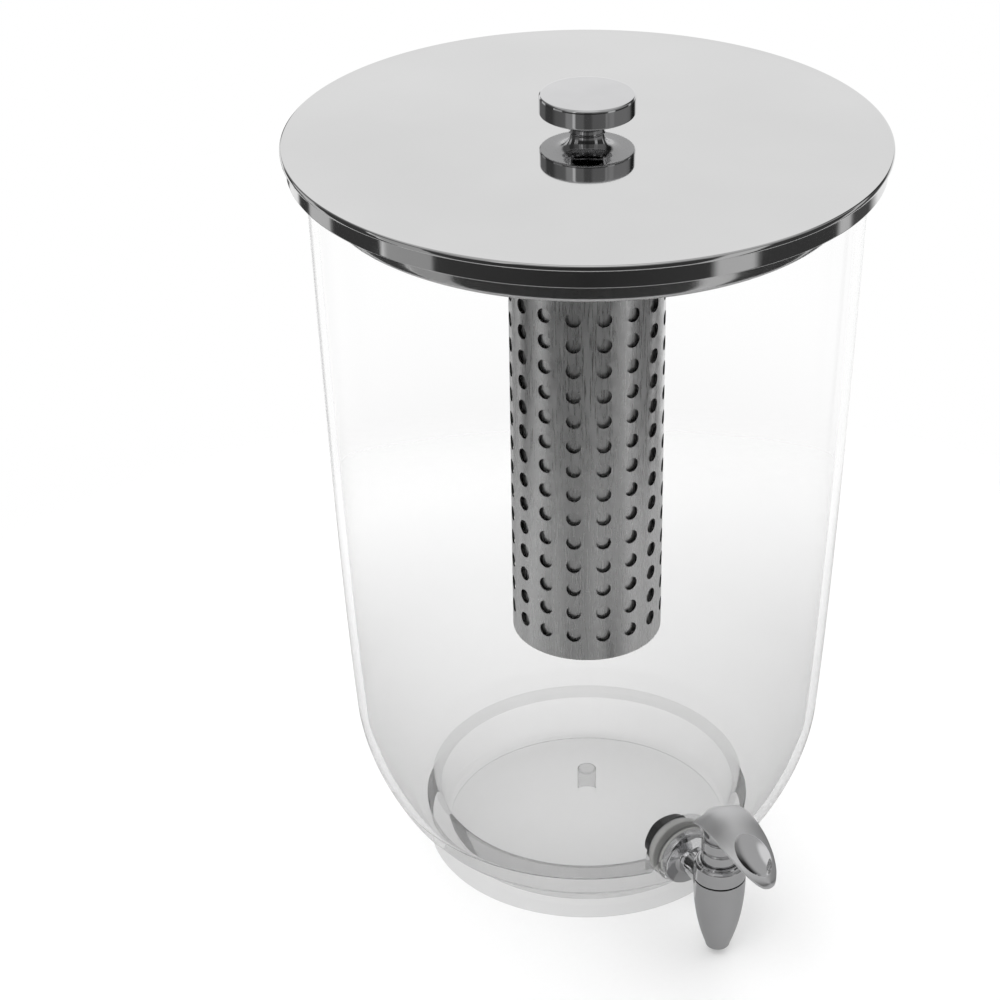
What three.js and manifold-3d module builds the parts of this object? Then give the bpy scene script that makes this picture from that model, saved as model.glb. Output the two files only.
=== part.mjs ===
// A clear juice dispenser: a container with a sump, a lid that carries an ice tube, and a lever tap.
// Millimetres, +Z up. The origin is in the foot's plane under the middle of the whole part, and the tap points to -Y.
import * as THREE from "three";
import { mergeVertices } from "three/addons/utils/BufferGeometryUtils.js";
import Module from "manifold-3d";

const wasm = await Module();
wasm.setup();

// Clearances shared by all pieces
const seatGap = 0.1;
const boreGap = 0.25;
const overrun = 30;
const weldReach = 0.0001;

// Facets round a turned piece
const largeFacets = 28;
const mediumFacets = 16;
const smallFacets = 12;

// Container: foot, sump and domed floor
const footRadius = 70.7;
const footDraft = 1.3;
const footChamfer = 1;
const footRingWidth = 9;
const floorEdgeHeight = 3.2;
const floorThickness = 2.8;
const domeRise = 12.3;
const sumpFloorInset = 8.2;
const sumpDraft = 2.7;
const lipDrop = 2.4;
const lipRounding = 4;
const ledgeInset = 6.5;
const ledgeLift = 1.6;
const pegRadius = 4.1;
const pegHeight = 13;

// Container: shoulder, wall and rim
const wall = 3.5;
const creaseHeight = 17.5;
const creaseStep = 5;
const shoulderStep = 7.5;
const shoulderLift = 9.5;
const waistStep = 16.1;
const waistLift = 48;
const mouthFlare = 10.3;
const bodyHeight = 252;
const rimReach = 3.6;
const rimThickness = 3;
const rimUndercut = 1.6;
const shoulderPull = 15.5;
const shoulderRise = 16.5;
const wallBulge = 0.9;
const shoulderPullShare = 0.62;
const sideRunShare = 0.54;
const sideRiseShare = 0.3;

// Tap seat in the container's shoulder
const tapLift = 16;
const padInset = 2;
const padThickness = 3.8;
const pocketPlay = 0.9;
const alcovePlay = 0.4;
const shankHolePlay = 0.6;

// Lid
const lidOverhang = 5.5;
const lidSheet = 1.2;
const lidEdgeDrop = 2.4;
const lidEdgeWidth = 1.6;
const lidEdgeRounding = 0.8;
const gasketThickness = 2.6;
const gasketPlay = 1.5;
const skirtInset = 2;
const skirtSheet = 1.2;
const skirtDepth = 8.5;
const plugPlay = 2.9;
const plugSheet = 1.2;
const plugDepth = 20.8;
const plugLip = 3;

// Knob and its screw
const knobRadius = 19;
const knobHeight = 17.7;
const knobDiscThickness = 7.3;
const knobEdge = 0.8;
const knobFootStep = 0.9;
const knobFootHeight = 1;
const knobNeckRadius = 5.6;
const knobRimWidth = 5.6;
const knobScrewRadius = 2;
const knobScrewDepth = 8;
const screwHeadRadius = 4;
const screwHeadHeight = 2.6;
const knobWasherMargin = 4;
const knobWasherThickness = 1;

// Ice tube
const tubeRadius = 31.9;
const tubeSheet = 1;
const tubeLength = 207;
const tubeDrop = 15.8;
const holeColumns = 16;
const holePhase = 4;
const holeRows = 14;
const holePitch = 11.32;
const holeRadius = 3.12;
const lowestHole = 12;
const baseSheet = 1.2;
const baseFlange = 5;
const baseInset = 0.4;

// Bayonet between the ice tube and the lid
const tubeRimDrop = 5.3;
const tubeRimSpigot = 6;
const tubeRimSheet = 1.2;
const lugCount = 3;
const lugAngle = 16;
const lugGapAngle = 26;
const lugReach = 2.7;
const lugThickness = 1.8;
const lugDrop = 12.2;
const lugPlay = 0.5;
const collarSheet = 1.2;
const collarLipPlay = 0.6;
const collarLipThickness = 1.3;
const lugTurn = 35;

// Tap: vertical body
const tapStandOff = 6.6;
const tapTip = 3.8;
const seamLift = 6.1;
const tapRadius = 10.9;
const tipRadius = 5.1;
const tipRounding = 1;
const tipSwellShare = 0.62;
const tipRiseShare = 0.3;
const bellyShare = 0.4;
const chamberWall = 1.5;
const valveSeatDrop = 15.5;
const outletRadius = 3.9;
const spigotInset = 2;
const spigotHeight = 5.5;

// Tap: arm, flange and shank
const armRadius = 5.7;
const armFillet = 1.8;
const flangeRadius = 12.4;
const flangeThickness = 3;
const flangeRounding = 0.9;
const outerGasketThickness = 1.5;
const shankRadius = 8;
const shankStickOut = 2.3;
const shankBoreRadius = 4.2;
const innerGasketThickness = 2.5;
const innerGasketWidth = 4.7;
const lockWasherThickness = 1.2;
const lockWasherWidth = 3.8;
const nutWidth = 2.3;
const nutThickness = 6.5;
const nutCornerWidth = 3.1;

// Tap: union nut and bonnet
const unionNutHeight = 9.2;
const unionNutPlate = 1.8;
const unionNutStep = 0.9;
const bonnetInset = 3;
const bonnetFlangeInset = 0.2;
const bonnetFlange = 1.6;
const bonnetHeight = 11;
const bonnetGroove = 0.7;
const bonnetChamfer = 0.6;
const sealWidth = 1.9;
const sealHeight = 3.6;

// Tap: stem, valve cup and spring
const stemRadius = 2.5;
const stemSink = 2.2;
const stemFlangePlay = 0.8;
const stemFlangeThickness = 1.2;
const stemHead = 2.6;
const cupPlay = 1.4;
const cupHeight = 8.2;
const springInset = 1;
const springWire = 0.45;
const springTurns = 5;

// Lever
const leverHalfWidth = 10.8;
const leverBack = -4.3;
const leverTip = 36.1;
const leverEdgeHeight = 20.1;
const leverTipHeight = 9.3;
const leverCrown = 2.2;
const leverTipCrown = 1.3;
const leverTipHalfWidth = 0.6;
const leverSheet = 2.4;
const leverEdgeSheet = 1.1;
const spoonThickness = 5.6;
const hubRadius = 7;
const hubLift = 0.15;
const pinHeight = 3.65;
const pinRadius = 1.25;
const pinInset = 0.8;
const slotPlay = 0.45;
const leverTurn = 20;
const leverRunShares = [0.214, 1.25];
const leverFallShares = [0.772, 0.791];
const leverTaperShare = 0.1;
const leverCrownShare = 0.55;
const scoopReach = 24.1;
const scoopLength = 14;
const scoopWidth = 9.2;
const scoopDepth = 3.2;
const scoopHeight = 19.2;
const scoopTilt = 26;

// Radii that follow from one another, from the foot out to the lid
const footTopRadius = footRadius + footDraft;
const sumpFloorRadius = footRadius - sumpFloorInset;
const sumpTopRadius = sumpFloorRadius + sumpDraft;
const creaseRadius = footTopRadius + creaseStep;
const shoulderRadius = creaseRadius + shoulderStep;
const ledgeRadius = shoulderRadius - ledgeInset;
const waistRadius = shoulderRadius + waistStep;
const mouthRadius = waistRadius + mouthFlare;
const rimRadius = mouthRadius + rimReach;
const lidRadius = rimRadius + lidOverhang;
const skirtRadius = lidRadius - skirtInset;
const plugRadius = mouthRadius - wall - plugPlay;
const knobFootRadius = knobNeckRadius + knobFootStep;
const knobFlareRadius = knobRadius - knobRimWidth;
const knobWasherRadius = screwHeadRadius + knobWasherMargin;
const collarRadius = tubeRadius + lugReach + lugPlay;
const collarLipRadius = tubeRadius + collarLipPlay;

// Heights that follow from one another, from the shoulder up to the lid
const shoulderHeight = creaseHeight + shoulderLift;
const ledgeHeight = shoulderHeight + ledgeLift;
const lipHeight = ledgeHeight - lipDrop;
const waistHeight = shoulderHeight + waistLift;
const rimTop = waistHeight + bodyHeight;
const gasketTop = rimTop + seatGap + gasketThickness;
const lidUnderside = gasketTop + seatGap;
const lidTop = lidUnderside + lidSheet;
const tubeTop = lidUnderside - tubeDrop;
const tubeBottom = tubeTop - tubeLength;
const tubeRimTop = lidUnderside - tubeRimDrop;
const lugHeight = lidUnderside - lugDrop;

// Tap sizes that follow from the container, the casting and the shank
const tapHeight = creaseHeight + tapLift;
const seamHeight = tapHeight + seamLift;
const valveSeatHeight = tapHeight - valveSeatDrop;
const tapReach = waistRadius + tapStandOff;
const padInnerReach = ledgeRadius - padInset;
const padOuterReach = padInnerReach + padThickness;
const spigotRadius = tapRadius - spigotInset;
const chamberRadius = spigotRadius - chamberWall;
const bonnetRadius = tapRadius - bonnetInset;
const bonnetFlangeRadius = spigotRadius - bonnetFlangeInset;
const sealRadius = stemRadius + sealWidth;
const stemFlangeRadius = chamberRadius - stemFlangePlay;
const cupRadius = chamberRadius - cupPlay;
const springRadius = stemFlangeRadius - springInset;
const innerGasketRadius = shankRadius + innerGasketWidth;
const lockWasherRadius = shankRadius + lockWasherWidth;
const nutFlats = (shankRadius + nutWidth) * 2;
const nutCornerRadius = shankRadius + nutCornerWidth;
const shankHoleRadius = shankRadius + shankHolePlay;
const alcoveRadius = innerGasketRadius + alcovePlay;
const seatPocketRadius = flangeRadius + pocketPlay;
const pinHalfLength = hubRadius - pinInset;
const innerGasketBack = padInnerReach - seatGap - innerGasketThickness;
const lockWasherBack = innerGasketBack - seatGap - lockWasherThickness;
const nutBack = lockWasherBack - seatGap - nutThickness;
const shankEnd = nutBack - shankStickOut;

// The container's axis stands this far behind the middle of the whole part, which is the origin
const axisOffset = (tapReach + leverTip - lidRadius) / 2;

// Materials
function metal(color, roughness) {
  return new THREE.MeshStandardMaterial({ color, roughness, metalness: 1 });
}

function plain(color, roughness) {
  return new THREE.MeshStandardMaterial({ color, roughness, metalness: 0 });
}

function clear(color, roughness, opacity) {
  return new THREE.MeshStandardMaterial({ color, roughness, metalness: 0, transparent: true, opacity });
}

// A point of a turned outline: distance from the axis, then distance along it
function at(radius, along) {
  return new THREE.Vector2(radius, along);
}

// A copy with shared vertices merged, empty triangles dropped and its faces pointing out
function welded(geometry) {
  const bare = new THREE.BufferGeometry();
  bare.setAttribute("position", geometry.getAttribute("position"));
  bare.setIndex(geometry.index);
  const merged = mergeVertices(bare, weldReach);
  const place = merged.getAttribute("position");
  const [a, b, c] = [new THREE.Vector3(), new THREE.Vector3(), new THREE.Vector3()];
  const kept = [];
  let volume = 0;
  for (let i = 0; i < merged.index.count; i += 3) {
    const corners = [merged.index.getX(i), merged.index.getX(i + 1), merged.index.getX(i + 2)];
    if (new Set(corners).size < 3) continue;
    kept.push(...corners);
    a.fromBufferAttribute(place, corners[0]);
    b.fromBufferAttribute(place, corners[1]);
    c.fromBufferAttribute(place, corners[2]);
    volume += a.dot(b.cross(c));
  }
  merged.setIndex(volume < 0 ? kept.reverse() : kept);
  return merged;
}

// A closed geometry as a solid for joins and cuts, and a solid back as a geometry
function solid(geometry) {
  const closed = welded(geometry);
  const vertProperties = closed.getAttribute("position").array;
  const triVerts = new Uint32Array(closed.index.array);
  return new wasm.Manifold(new wasm.Mesh({ numProp: 3, vertProperties, triVerts }));
}

function shaped(body) {
  const mesh = body.getMesh();
  const geometry = new THREE.BufferGeometry();
  geometry.setAttribute("position", new THREE.BufferAttribute(mesh.vertProperties, 3));
  geometry.setIndex(new THREE.BufferAttribute(mesh.triVerts, 1));
  return geometry;
}

// Turned pieces: about the vertical axis, and about the tap's level axis that runs out to -Y
function turned(outline, facets) {
  return welded(new THREE.LatheGeometry(outline, facets).rotateX(Math.PI / 2));
}

function turnedOut(outline, facets) {
  return welded(new THREE.LatheGeometry(outline, facets).rotateZ(Math.PI).translate(0, 0, tapHeight));
}

// A ring of rectangular section, closed on itself
function ringOutline(inner, outer, from, to) {
  return [at(inner, from), at(outer, from), at(outer, to), at(inner, to), at(inner, from)];
}

// A rod as an outline that starts and ends on the axis
function rodOutline(radius, from, to) {
  return [at(0, from), at(radius, from), at(radius, to), at(0, to)];
}

// The container's outer wall from the shoulder up to the mouth, as two curves that share a tangent
function outerWallPoints() {
  const shoulder = new THREE.CubicBezierCurve(
    at(shoulderRadius, shoulderHeight),
    at(shoulderRadius + shoulderPull * shoulderPullShare, shoulderHeight + shoulderRise),
    at(waistRadius - wallBulge, waistHeight - shoulderPull),
    at(waistRadius, waistHeight),
  );
  const side = new THREE.QuadraticBezierCurve(
    at(waistRadius, waistHeight),
    at(waistRadius + (mouthRadius - waistRadius) * sideRunShare, waistHeight + (rimTop - waistHeight) * sideRiseShare),
    at(mouthRadius, rimTop - rimThickness - rimUndercut),
  );
  return [...shoulder.getPoints(5), ...side.getPoints(3).slice(1)];
}

// The same wall moved square to itself, towards the axis
function insetPoints(points, distance) {
  return points.map((point, i) => {
    const before = points[Math.max(i - 1, 0)];
    const after = points[Math.min(i + 1, points.length - 1)];
    const along = after.clone().sub(before).normalize();
    return at(point.x - along.y * distance, point.y + along.x * distance);
  });
}

// A dome over a radius: highest on the axis and level with its edge at the rim
function domePoints(radius, edge, rise, from, count) {
  return Array.from({ length: count + 1 }, (_, i) => {
    const r = from + ((radius - from) * i) / count;
    return at(r, edge + rise * (1 - (r / radius) ** 2));
  });
}

function quarterPoints(centre, radius, start, count) {
  return Array.from({ length: count + 1 }, (_, i) => {
    const angle = start - ((Math.PI / 2) * i) / count;
    return at(centre.x + radius * Math.cos(angle), centre.y + radius * Math.sin(angle));
  });
}

function containerOuter() {
  const ring = footRadius - footRingWidth;
  return turned(
    [
      ...domePoints(ring, floorEdgeHeight - floorThickness, domeRise, 0, 3),
      at(ring, 0),
      at(footRadius - footChamfer, 0),
      at(footRadius, footChamfer),
      at(footTopRadius, creaseHeight - footChamfer),
      at(creaseRadius, creaseHeight),
      ...outerWallPoints(),
      at(rimRadius - rimUndercut, rimTop - rimThickness),
      at(rimRadius, rimTop - rimThickness),
      at(rimRadius, rimTop),
      at(0, rimTop),
    ],
    largeFacets,
  );
}

function containerCavity() {
  const lip = at(sumpTopRadius + lipRounding, lipHeight - lipRounding);
  const domeAtPeg = domeRise * (1 - (pegRadius / sumpFloorRadius) ** 2);
  const inner = insetPoints(outerWallPoints(), wall).filter((p) => p.y > ledgeHeight + wall);
  return turned(
    [
      at(0, floorEdgeHeight + domeAtPeg + pegHeight),
      at(pegRadius, floorEdgeHeight + domeAtPeg + pegHeight),
      ...domePoints(sumpFloorRadius, floorEdgeHeight, domeRise, pegRadius, 3),
      ...quarterPoints(lip, lipRounding, Math.PI, 3),
      at(ledgeRadius, ledgeHeight),
      ...inner,
      at(mouthRadius - wall, rimTop + overrun),
      at(0, rimTop + overrun),
    ],
    largeFacets,
  );
}

// An upright arch, straight below its centre and pushed out along -Y between two reaches
function arch(radius, from, to) {
  const outline = new THREE.Shape();
  outline.absarc(0, tapHeight, radius, 0, Math.PI, false);
  outline.lineTo(-radius, creaseHeight);
  outline.lineTo(radius, creaseHeight);
  const block = new THREE.ExtrudeGeometry(outline, { depth: to - from, bevelEnabled: false, curveSegments: 8 });
  return solid(block.rotateX(Math.PI / 2).translate(0, -from, 0));
}

function levelRod(radius, from, to) {
  return solid(turnedOut(rodOutline(radius, from, to), mediumFacets));
}

// The clear container: a turned shell, with an arched boss in the shoulder that seats the tap
function container() {
  const outer = solid(containerOuter());
  const boss = arch(seatPocketRadius + wall, padInnerReach, mouthRadius).intersect(outer);
  return shaped(
    outer
      .subtract(solid(containerCavity()))
      .add(boss)
      .subtract(levelRod(alcoveRadius, sumpFloorRadius - alcoveRadius, padInnerReach))
      .subtract(levelRod(seatPocketRadius, padOuterReach, mouthRadius + overrun))
      .subtract(levelRod(shankHoleRadius, sumpFloorRadius, mouthRadius)),
  );
}

function lidPlate() {
  const edge = lidTop - lidEdgeDrop;
  return turned(
    [
      at(knobScrewRadius + boreGap, lidUnderside),
      at(lidRadius - lidEdgeWidth, lidUnderside),
      at(lidRadius - lidEdgeWidth, edge),
      at(lidRadius - lidEdgeRounding, edge),
      at(lidRadius, edge + lidEdgeRounding),
      at(lidRadius, lidTop - lidEdgeRounding),
      at(lidRadius - lidEdgeRounding, lidTop),
      at(knobScrewRadius + boreGap, lidTop),
      at(knobScrewRadius + boreGap, lidUnderside),
    ],
    largeFacets,
  );
}

function lidSkirt() {
  return turned(ringOutline(skirtRadius - skirtSheet, skirtRadius, lidUnderside - skirtDepth, lidUnderside), largeFacets);
}

// The plug ring dips into the mouth and ends in a lip turned towards the axis
function lidPlug() {
  const bottom = lidUnderside - plugDepth;
  return turned(
    [
      at(plugRadius - plugSheet, lidUnderside),
      at(plugRadius - plugSheet, bottom + plugLip),
      at(plugRadius - plugSheet - plugLip, bottom + plugSheet),
      at(plugRadius - plugSheet - plugLip, bottom),
      at(plugRadius - plugLip, bottom),
      at(plugRadius, bottom + plugLip),
      at(plugRadius, lidUnderside),
      at(plugRadius - plugSheet, lidUnderside),
    ],
    largeFacets,
  );
}

function lidGasket() {
  return turned(ringOutline(plugRadius + gasketPlay, rimRadius - seatGap, rimTop + seatGap, gasketTop), largeFacets);
}

// The knob: a trumpet foot under a flat disc, with a blind bore for its screw
function knob() {
  const disc = lidTop + knobHeight - knobDiscThickness;
  const top = lidTop + knobHeight;
  const flare = new THREE.QuadraticBezierCurve(
    at(knobNeckRadius, lidTop + knobFootHeight),
    at(knobNeckRadius, disc),
    at(knobFlareRadius, disc),
  );
  return turned(
    [
      at(0, lidTop + knobScrewDepth),
      at(knobScrewRadius + boreGap, lidTop + knobScrewDepth),
      at(knobScrewRadius + boreGap, lidTop),
      at(knobFootRadius, lidTop),
      ...flare.getPoints(4),
      at(knobRadius - knobEdge, disc),
      at(knobRadius, disc + knobEdge),
      at(knobRadius, top - knobEdge),
      at(knobRadius - knobEdge, top),
      at(0, top),
    ],
    mediumFacets,
  );
}

const knobWasherTop = lidUnderside - seatGap;
const screwHeadTop = knobWasherTop - knobWasherThickness - seatGap;

function knobWasher() {
  const bore = knobScrewRadius + boreGap;
  return turned(ringOutline(bore, knobWasherRadius, knobWasherTop - knobWasherThickness, knobWasherTop), smallFacets);
}

function knobScrew() {
  return turned(
    [
      at(0, screwHeadTop - screwHeadHeight),
      at(screwHeadRadius - knobEdge, screwHeadTop - screwHeadHeight),
      at(screwHeadRadius, screwHeadTop - screwHeadHeight + knobEdge),
      at(screwHeadRadius, screwHeadTop),
      at(knobScrewRadius, screwHeadTop),
      at(knobScrewRadius, lidTop + knobScrewDepth - boreGap),
      at(0, lidTop + knobScrewDepth - boreGap),
    ],
    smallFacets,
  );
}

// A sector of a ring, for the bayonet's lugs and the gaps that let them pass
function sector(inner, outer, from, to, middle, angle) {
  const half = THREE.MathUtils.degToRad(angle / 2);
  const centre = THREE.MathUtils.degToRad(middle);
  const outline = new THREE.Shape();
  outline.absarc(0, 0, outer, centre - half, centre + half, false);
  outline.absarc(0, 0, inner, centre + half, centre - half, true);
  const block = new THREE.ExtrudeGeometry(outline, { depth: to - from, bevelEnabled: false, curveSegments: 2 });
  return solid(block.translate(0, 0, from));
}

function lugMiddle(index) {
  return (360 / lugCount) * index - 90;
}

// The bayonet socket under the lid: a collar with an inward lip, cut away where the lugs pass
function tubeCollar() {
  const bottom = lugHeight - seatGap - collarLipThickness;
  let collar = solid(
    turned(
      [
        at(collarLipRadius, bottom),
        at(collarRadius + collarSheet, bottom),
        at(collarRadius + collarSheet, lidUnderside),
        at(collarRadius, lidUnderside),
        at(collarRadius, bottom + collarLipThickness),
        at(collarLipRadius, bottom + collarLipThickness),
        at(collarLipRadius, bottom),
      ],
      largeFacets,
    ),
  );
  for (let i = 0; i < lugCount; i += 1) {
    const from = bottom - collarLipThickness;
    const to = bottom + collarLipThickness + collarLipThickness;
    const gap = sector(collarLipRadius - lugReach, collarRadius, from, to, lugMiddle(i) + lugTurn, lugGapAngle);
    collar = collar.subtract(gap);
  }
  return shaped(collar);
}

// The ice tube's rim: a ring with a spigot inside the tube and three lugs that hang on the collar's lip
function tubeRim() {
  const inside = tubeRadius - tubeSheet;
  const spigot = (inside - boreGap) * Math.cos(Math.PI / (holeColumns * 2));
  let rim = solid(
    turned(
      [
        at(spigot - tubeRimSheet, tubeTop - tubeRimSpigot),
        at(spigot, tubeTop - tubeRimSpigot),
        at(spigot, tubeTop + seatGap),
        at(tubeRadius, tubeTop + seatGap),
        at(tubeRadius, tubeRimTop),
        at(spigot - tubeRimSheet, tubeRimTop),
        at(spigot - tubeRimSheet, tubeTop - tubeRimSpigot),
      ],
      mediumFacets,
    ),
  );
  for (let i = 0; i < lugCount; i += 1) {
    const lug = sector(spigot, tubeRadius + lugReach, lugHeight, lugHeight + lugThickness, lugMiddle(i), lugAngle);
    rim = rim.add(lug);
  }
  return shaped(rim);
}

// The perforated wall: rows of six-sided holes in a thin tube, with the sheet stretched between their corners
function perforatedTube() {
  const positions = [];
  const faces = [];
  const numbered = new Map();
  const step = (Math.PI * 2) / holeColumns;
  const first = THREE.MathUtils.degToRad(holePhase);
  const inside = tubeRadius - tubeSheet;
  function corner(radius, angle, height) {
    const turn = (angle + Math.PI * 2) % (Math.PI * 2);
    const key = [radius, Math.round(turn / weldReach) % Math.round((Math.PI * 2) / weldReach), height.toFixed(3)].join();
    if (!numbered.has(key)) {
      numbered.set(key, positions.length / 3);
      positions.push(radius * Math.cos(turn), radius * Math.sin(turn), height);
    }
    return numbered.get(key);
  }
  // The same face on the outside of the sheet and, turned round, on its inside
  function bothSides(...points) {
    for (let k = 1; k < points.length - 1; k += 1) {
      const fan = [points[0], points[k], points[k + 1]];
      faces.push(...fan.map((p) => corner(tubeRadius, ...p)));
      faces.push(...fan.map((p) => corner(inside, ...p)).reverse());
    }
  }
  // The sheet's thickness along an edge of a hole or of an end
  function edge(from, to) {
    const [a, b] = [corner(tubeRadius, ...from), corner(tubeRadius, ...to)];
    const [c, d] = [corner(inside, ...to), corner(inside, ...from)];
    faces.push(a, b, c, a, c, d);
  }
  // A hole's six corners from the lowest round to the left, as places on the sheet
  function hole(column, row) {
    const [turn, height] = [first + step * column, tubeBottom + lowestHole + holePitch * row];
    return Array.from({ length: 6 }, (_, k) => {
      const around = (Math.PI / 3) * k - Math.PI / 2;
      return [turn + (holeRadius * Math.cos(around)) / tubeRadius, height + holeRadius * Math.sin(around)];
    });
  }
  // The sheet between four neighbouring holes
  function web(here, right, above, beyond) {
    bothSides(here[3], here[2], above[1], above[0]);
    bothSides(here[2], right[4], beyond[5], above[1]);
    bothSides(right[4], right[3], beyond[0], beyond[5]);
  }
  for (let column = 0; column < holeColumns; column += 1) {
    const [turn, half] = [first + step * column, step / 2];
    const low = [turn, turn + half, turn + step].map((angle) => [angle, tubeBottom]);
    const high = low.map(([angle]) => [angle, tubeTop]);
    for (let row = 0; row < holeRows; row += 1) {
      const [here, right] = [hole(column, row), hole(column + 1, row)];
      for (let k = 0; k < here.length; k += 1) edge(here[k], here[(k + 1) % here.length]);
      bothSides(here[1], right[5], right[4], here[2]);
      if (row < holeRows - 1) web(here, right, hole(column, row + 1), hole(column + 1, row + 1));
    }
    const [lowest, lowestRight] = [hole(column, 0), hole(column + 1, 0)];
    bothSides(low[1], lowestRight[5], lowest[1], lowest[0], low[0]);
    bothSides(low[1], low[2], lowestRight[0], lowestRight[5]);
    edge(low[1], low[0]);
    edge(low[2], low[1]);
    const [highest, highestRight] = [hole(column, holeRows - 1), hole(column + 1, holeRows - 1)];
    bothSides(high[1], high[0], highest[3], highest[2], highestRight[4]);
    bothSides(high[1], highestRight[4], highestRight[3], high[2]);
    edge(high[0], high[1]);
    edge(high[1], high[2]);
  }
  const geometry = new THREE.BufferGeometry();
  geometry.setAttribute("position", new THREE.Float32BufferAttribute(positions, 3));
  geometry.setIndex(faces);
  return welded(geometry);
}

// The tube's base: a pressed cup that closes the bottom, its flange inside the wall
function tubeBase() {
  const radius = (tubeRadius - tubeSheet - seatGap) * Math.cos(Math.PI / holeColumns);
  const bottom = tubeBottom + baseInset;
  return turned(
    [
      at(0, bottom),
      at(radius - baseSheet, bottom),
      at(radius, bottom + baseSheet),
      at(radius, bottom + baseFlange),
      at(radius - baseSheet, bottom + baseFlange),
      at(radius - baseSheet, bottom + baseSheet),
      at(0, bottom + baseSheet),
    ],
    mediumFacets,
  );
}

// The tap's nozzle: an ogive from the seam down to the tip
function nozzlePoints() {
  const fall = new THREE.CubicBezierCurve(
    at(tipRadius, tapTip + tipRounding),
    at(tipRadius + (tapRadius - tipRadius) * tipSwellShare, tapTip + (seamHeight - tapTip) * tipRiseShare),
    at(tapRadius, seamHeight - (seamHeight - tapTip) * bellyShare),
    at(tapRadius, seamHeight),
  );
  return fall.getPoints(5);
}

// The tap's casting: nozzle, chamber, spigot, arm, flange and shank in one piece, bored for the juice
function tapBody() {
  const upright = turned(
    [at(0, tapTip), at(tipRadius - tipRounding, tapTip), ...nozzlePoints(),
      at(spigotRadius, seamHeight), at(spigotRadius, seamHeight + spigotHeight), at(0, seamHeight + spigotHeight)],
    mediumFacets,
  ).translate(0, -tapReach, 0);
  const flangeBack = padOuterReach + outerGasketThickness + seatGap + seatGap;
  const flangeFront = flangeBack + flangeThickness;
  const level = turnedOut(
    [at(0, shankEnd), at(shankRadius, shankEnd), at(shankRadius, flangeBack), at(flangeRadius, flangeBack),
      at(flangeRadius, flangeFront - flangeRounding), at(flangeRadius - flangeRounding, flangeFront),
      at(armRadius + armFillet, flangeFront), at(armRadius, flangeFront + armFillet),
      at(armRadius, tapReach), at(0, tapReach)],
    mediumFacets,
  );
  const chamber = turned(rodOutline(chamberRadius, valveSeatHeight, seamHeight + overrun), mediumFacets);
  const outlet = turned(rodOutline(outletRadius, tapTip - overrun, valveSeatHeight + seatGap), smallFacets);
  return shaped(
    solid(upright)
      .add(solid(level))
      .subtract(solid(chamber.translate(0, -tapReach, 0)))
      .subtract(solid(outlet.translate(0, -tapReach, 0)))
      .subtract(levelRod(shankBoreRadius, shankEnd - overrun, tapReach)),
  );
}

function outerGasket() {
  const from = padOuterReach + seatGap;
  return turnedOut(ringOutline(shankRadius + boreGap, flangeRadius, from, from + outerGasketThickness), mediumFacets);
}

function innerGasket() {
  const bore = shankRadius + boreGap;
  return turnedOut(ringOutline(bore, innerGasketRadius, innerGasketBack, padInnerReach - seatGap), mediumFacets);
}

function lockWasher() {
  const front = lockWasherBack + lockWasherThickness;
  return turnedOut(ringOutline(shankRadius + boreGap, lockWasherRadius, lockWasherBack, front), mediumFacets);
}

// The lock nut: a hexagon whose corners are turned down to a cylinder
function lockNut() {
  const across = nutFlats / 2 / Math.cos(Math.PI / 6);
  const corners = Array.from({ length: 6 }, (_, k) => {
    const angle = (Math.PI / 3) * k;
    return new THREE.Vector2(across * Math.cos(angle), across * Math.sin(angle));
  });
  const hexagon = new THREE.Shape(corners);
  const prism = new THREE.ExtrudeGeometry(hexagon, { depth: nutThickness, bevelEnabled: false });
  const blank = solid(prism.rotateX(Math.PI / 2).translate(0, -nutBack, tapHeight));
  const turnedDown = levelRod(nutCornerRadius, nutBack - overrun, padInnerReach);
  return shaped(blank.intersect(turnedDown).subtract(levelRod(shankRadius + boreGap, shankEnd - overrun, padInnerReach)));
}

// Heights in the tap's head, from the seam up
const spigotTop = seamHeight + spigotHeight;
const bonnetBottom = spigotTop + seatGap;
const unionNutTop = seamHeight + unionNutHeight;
const bonnetTop = unionNutTop + bonnetHeight;
const hubBase = bonnetTop + hubLift;
const pinLevel = hubBase + pinHeight;

// The union nut: a plain ring that holds the bonnet down on the spigot, with a stepped top edge
function unionNut() {
  const bore = spigotRadius + boreGap;
  const plate = unionNutTop - unionNutPlate;
  return turned(
    [
      at(bore, seamHeight + seatGap),
      at(tapRadius, seamHeight + seatGap),
      at(tapRadius, unionNutTop - unionNutStep - unionNutStep),
      at(tapRadius - unionNutStep, unionNutTop - unionNutStep),
      at(tapRadius - unionNutStep - unionNutStep, unionNutTop - unionNutStep),
      at(tapRadius - unionNutStep - unionNutStep, unionNutTop),
      at(bonnetRadius + boreGap, unionNutTop),
      at(bonnetRadius + boreGap, plate),
      at(bore, plate),
      at(bore, seamHeight + seatGap),
    ],
    mediumFacets,
  );
}

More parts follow.
